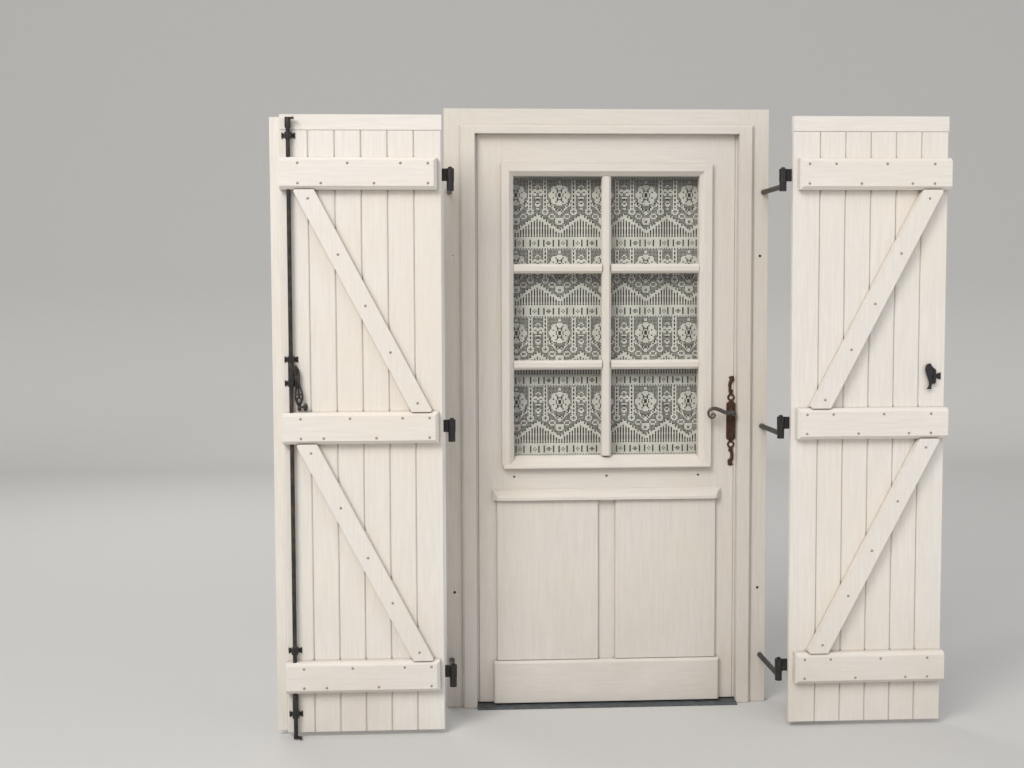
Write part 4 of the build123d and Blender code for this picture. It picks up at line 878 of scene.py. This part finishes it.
class HangLace(Operator):
    """Work the lace curtain as a net of threads and hang it on its rods"""

    bl_idname = "door.hang_lace"
    bl_label = "Hang lace"

    # Height of an eyelet band above the panes' lower edge, and the hems' widths
    band_above, hem, side_hem = 0.0265, 0.02, 0.012
    # How far back the folds and the rods lie, and how far the rods are inside their node's ends
    folds_y, rods_y, rod_inset = 0.0867, 0.091, 0.0072
    # The pockets' size, cuts along them, and how deep and how often their gathers crush them
    pocket_radius, pocket_cuts, crush, crush_pitch = 0.0057, 80, 0.06, 430

    def execute(self, context):
        lace = context.scene.door_lace
        low, high = node_box("lace_curtain")
        waves = lace.gathers * 2 * pi / (high.x - low.x)
        bm = self.work_net(lace, low, high)
        for vert in bm.verts:
            # The folds wander a little on their way down
            x, z = vert.co.x, vert.co.z
            drift = 0.25 * sin(z * 7.0 + x * 3.0)
            vert.co.y = self.folds_y + lace.gather * sin(waves * (x - low.x) + pi + drift)
        rods_low, rods_high = node_box("curtain_rods")
        for level in (rods_low.z + self.rod_inset, rods_high.z - self.rod_inset):
            self.sew_pocket(bm, low, high, level)
        cotton = self.cotton(tuple(lace.cotton))
        curtain = new_piece("lace_curtain_net", bm, "door_leaf", cotton)
        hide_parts("lace_curtain")
        return {"FINISHED"}

    def work_net(self, lace, low, high):
        """The flat net with its pattern, in the curtain's plane."""
        cell = lace.repeat_width / lace.cells_across
        drop = lace.repeat_height / lace.cells_down
        width, height = high.x - low.x, high.z - low.z
        bm = bmesh.new()
        bmesh.ops.create_grid(
            bm, x_segments=round(width / cell), y_segments=round(height / drop), size=0.5
        )
        size = Matrix.Diagonal((width, height, 1, 1))
        bmesh.ops.transform(bm, matrix=Matrix.Rotation(pi / 2, 4, "X") @ size, verts=bm.verts)
        middle = (low + high) / 2
        bmesh.ops.translate(bm, vec=(middle.x, 0, middle.z), verts=bm.verts)
        band = node_box("glass_panes")[0].z + self.band_above
        net, gaps = [], []
        for face in bm.faces:
            x, _, z = face.calc_center_median()
            if min(z - low.z, high.z - z) < self.hem or min(x - low.x, high.x - x) < self.side_hem:
                continue
            column = floor((x - low.x) / cell + 0.01)
            row = floor((band - z) / drop + 0.5)
            kind = stitch(column, row, lace.cells_across, lace.cells_down)
            if kind == NET:
                net.append(face)
            elif kind == GAP:
                gaps.append(face)
        bmesh.ops.delete(bm, geom=gaps, context="FACES")
        bmesh.ops.inset_individual(bm, faces=net, thickness=lace.thread)
        bmesh.ops.delete(bm, geom=net, context="FACES")
        return bm

    def cotton(self, colour):
        """Twisted thread, greyer in soft patches."""
        finish = Finish("cotton_lace", Roughness=0.85, Sheen_Weight=0.25)
        whole = finish.place()
        twist = finish.noise(whole, scale=900.0, detail=2.0)
        soft = finish.noise(whole, scale=6.0, detail=4.0)
        colour = finish.mix(finish.ramp(soft, low=0.35, high=0.7), colour, dulled(colour, 0.86))
        finish.set(finish.shader, "Base Color", colour)
        relief = finish.bump(twist, distance=0.0003, strength=0.7)
        finish.set(finish.shader, "Normal", relief)
        return finish.material

    def sew_pocket(self, bm, low, high, level):
        """The pocket that a rod runs through, slightly crushed by its gathers."""
        radius = self.pocket_radius
        tube = bmesh.ops.create_cone(
            bm, cap_ends=False, segments=14, radius1=radius, radius2=radius, depth=high.x - low.x
        )["verts"]
        lengths = [
            edge for edge in edges_of(tube)
            if abs(edge.verts[0].co.z - edge.verts[1].co.z) > radius
        ]
        bmesh.ops.subdivide_edges(bm, edges=lengths, cuts=self.pocket_cuts)
        around = radius + 0.0003
        tube = [vert for vert in bm.verts if max(abs(vert.co.x), abs(vert.co.y)) < around]
        for vert in tube:
            vert.co.xy *= 1 - self.crush * (1 + sin(vert.co.z * self.crush_pitch))
        place = Matrix.Translation(((low.x + high.x) / 2, self.rods_y, level))
        bmesh.ops.transform(bm, matrix=place @ Matrix.Rotation(pi / 2, 4, "Y"), verts=tube)


class SetStage(Operator):
    """Set the floor, backdrop, soft lamps and camera"""

    bl_idname = "door.set_stage"
    bl_label = "Set stage"

    # Half the floor's depth and width, its back edge, and the wall's height and sweep
    half_depth, half_width, back_y, wall_height, sweep = 9, 15.3, 8.5, 8, 1.6
    floor_z = -0.0005
    # Name, place, size, power and colour of each lamp
    lamps = (
        ("key_lamp", (-3.0, -4.2, 4.4), 2.2, 130, (1.0, 0.965, 0.92)),
        ("fill_lamp", (3.6, -4.0, 2.4), 3.2, 40, (0.94, 0.97, 1.0)),
        ("back_lamp", (-2.5, 5.0, 4.6), 3.0, 90, (1.0, 1.0, 1.0)),
    )
    lamps_aim = Vector((0, -0.1, 1.0))
    sky_power, sky_softness, sky_colour = 1.15, radians(40), (1.0, 0.985, 0.96)
    sky_turn = (radians(48), 0, radians(-24))
    world_colour, world_power = (0.96, 0.975, 1, 1), 0.42
    camera_tilt, camera_heading, camera_roll = radians(86.2), radians(-3.3), radians(-0.2)

    def execute(self, context):
        stage = context.scene.door_stage
        room_shade = tuple(stage.room_shade)
        self.lay_paper(tuple(stage.backdrop), room_shade)
        self.hang_lamps(context)
        self.light_world(context, room_shade)
        self.stand_camera(context, stage)
        context.scene.view_settings.view_transform = "Standard"
        return {"FINISHED"}

    def lay_paper(self, colour, room_shade):
        """The floor and the wall behind it in one sweep; behind glass it has the room's shade."""
        finish = Finish("stage_paper", Roughness=0.9, Specular_IOR_Level=0.1)
        finish.set(finish.shader, "Base Color", colour)
        finish.seen_through("ShaderNodeEmission", "Is Transmission Ray", {"Color": room_shade})
        bm = bmesh.new()
        bmesh.ops.create_grid(bm, x_segments=1, y_segments=1, size=self.half_depth)
        widening = self.half_width / self.half_depth
        bmesh.ops.scale(bm, vec=(widening, 1, 1), verts=bm.verts)
        forward = self.back_y - self.half_depth
        bmesh.ops.translate(bm, vec=(0, forward, self.floor_z), verts=bm.verts)

        def edges_at_back():
            return [
                edge for edge in bm.edges
                if all(vert.co.y > self.back_y - 0.1 and vert.co.z < 1 for vert in edge.verts)
            ]

        wall = bmesh.ops.extrude_edge_only(bm, edges=edges_at_back())["geom"]
        top = [item for item in wall if isinstance(item, bmesh.types.BMVert)]
        bmesh.ops.translate(bm, vec=(0, 0, self.wall_height), verts=top)
        bmesh.ops.bevel(
            bm, geom=edges_at_back(), offset=self.sweep, offset_type="OFFSET", segments=16,
            profile=0.5, affect="EDGES", material=-1,
        )
        new_piece("stage_paper", bm, None, finish.material, smooth=True)

    def hang_lamps(self, context):
        for name, place, size, power, colour in self.lamps:
            lamp = bpy.data.lights.new(name, "AREA")
            lamp.energy, lamp.size, lamp.color = power, size, colour
            holder = bpy.data.objects.new(name, lamp)
            holder.location = place
            aim = self.lamps_aim - Vector(place)
            holder.rotation_euler = aim.to_track_quat("-Z", "Y").to_euler()
            context.collection.objects.link(holder)
        sky = bpy.data.lights.new("sky_lamp", "SUN")
        sky.energy, sky.angle, sky.color = self.sky_power, self.sky_softness, self.sky_colour
        holder = bpy.data.objects.new("sky_lamp", sky)
        holder.rotation_euler = self.sky_turn
        context.collection.objects.link(holder)

    def light_world(self, context, room_shade):
        """Even light all round, and the room's shade behind glass."""
        world = bpy.data.worlds.new("studio")
        context.scene.world = world
        world.use_nodes = True
        nodes, links = world.node_tree.nodes, world.node_tree.links
        open_sky = nodes["Background"]
        open_sky.inputs["Color"].default_value = self.world_colour
        open_sky.inputs["Strength"].default_value = self.world_power
        dim = nodes.new("ShaderNodeBackground")
        dim.inputs["Color"].default_value = (*room_shade, 1)
        path = nodes.new("ShaderNodeLightPath")
        blend = nodes.new("ShaderNodeMixShader")
        links.new(path.outputs["Is Transmission Ray"], blend.inputs[0])
        links.new(open_sky.outputs[0], blend.inputs[1])
        links.new(dim.outputs[0], blend.inputs[2])
        links.new(blend.outputs[0], nodes["World Output"].inputs["Surface"])

    def stand_camera(self, context, stage):
        camera = bpy.data.objects.new("camera", bpy.data.cameras.new("camera"))
        camera.data.lens = stage.camera_lens
        level = Euler((self.camera_tilt, 0, self.camera_heading)).to_matrix()
        aim = level @ Matrix.Rotation(self.camera_roll, 3, "Z")
        camera.matrix_world = Matrix.Translation(stage.camera_place) @ aim.to_4x4()
        context.collection.objects.link(camera)
        context.scene.camera = camera


class DoorPanel(Panel):
    """The door's pieces and their settings"""

    bl_idname = "VIEW3D_PT_door"
    bl_label = "Door"
    bl_space_type = "VIEW_3D"
    bl_region_type = "UI"
    bl_category = "Door"

    def draw(self, context):
        for operator in operators:
            self.layout.operator(operator.bl_idname)
        for name, kind in setting_groups.items():
            box = self.layout.box()
            for setting in kind.__annotations__:
                box.prop(getattr(context.scene, name), setting)


operators = (SetStage, PaintDoor, PaintShutters, FinishIronwork, FinishLock, GlazeLights, HangLace)
setting_groups = {
    "door_woodwork": WoodworkSettings,
    "door_iron": IronSettings,
    "door_lace": LaceSettings,
    "door_stage": StageSettings,
}


def register():
    for kind in (*setting_groups.values(), *operators, DoorPanel):
        bpy.utils.register_class(kind)
    for name, group in setting_groups.items():
        setattr(bpy.types.Scene, name, PointerProperty(type=group))


def unregister():
    for name in setting_groups:
        delattr(bpy.types.Scene, name)
    for kind in (DoorPanel, *reversed(operators), *reversed(list(setting_groups.values()))):
        bpy.utils.unregister_class(kind)


def main():
    register()
    bpy.ops.door.set_stage()
    bpy.ops.door.paint_door()
    bpy.ops.door.paint_shutters()
    bpy.ops.door.finish_ironwork()
    bpy.ops.door.finish_lock()
    bpy.ops.door.glaze_lights()
    bpy.ops.door.hang_lace()


if __name__ == "__main__":
    main()
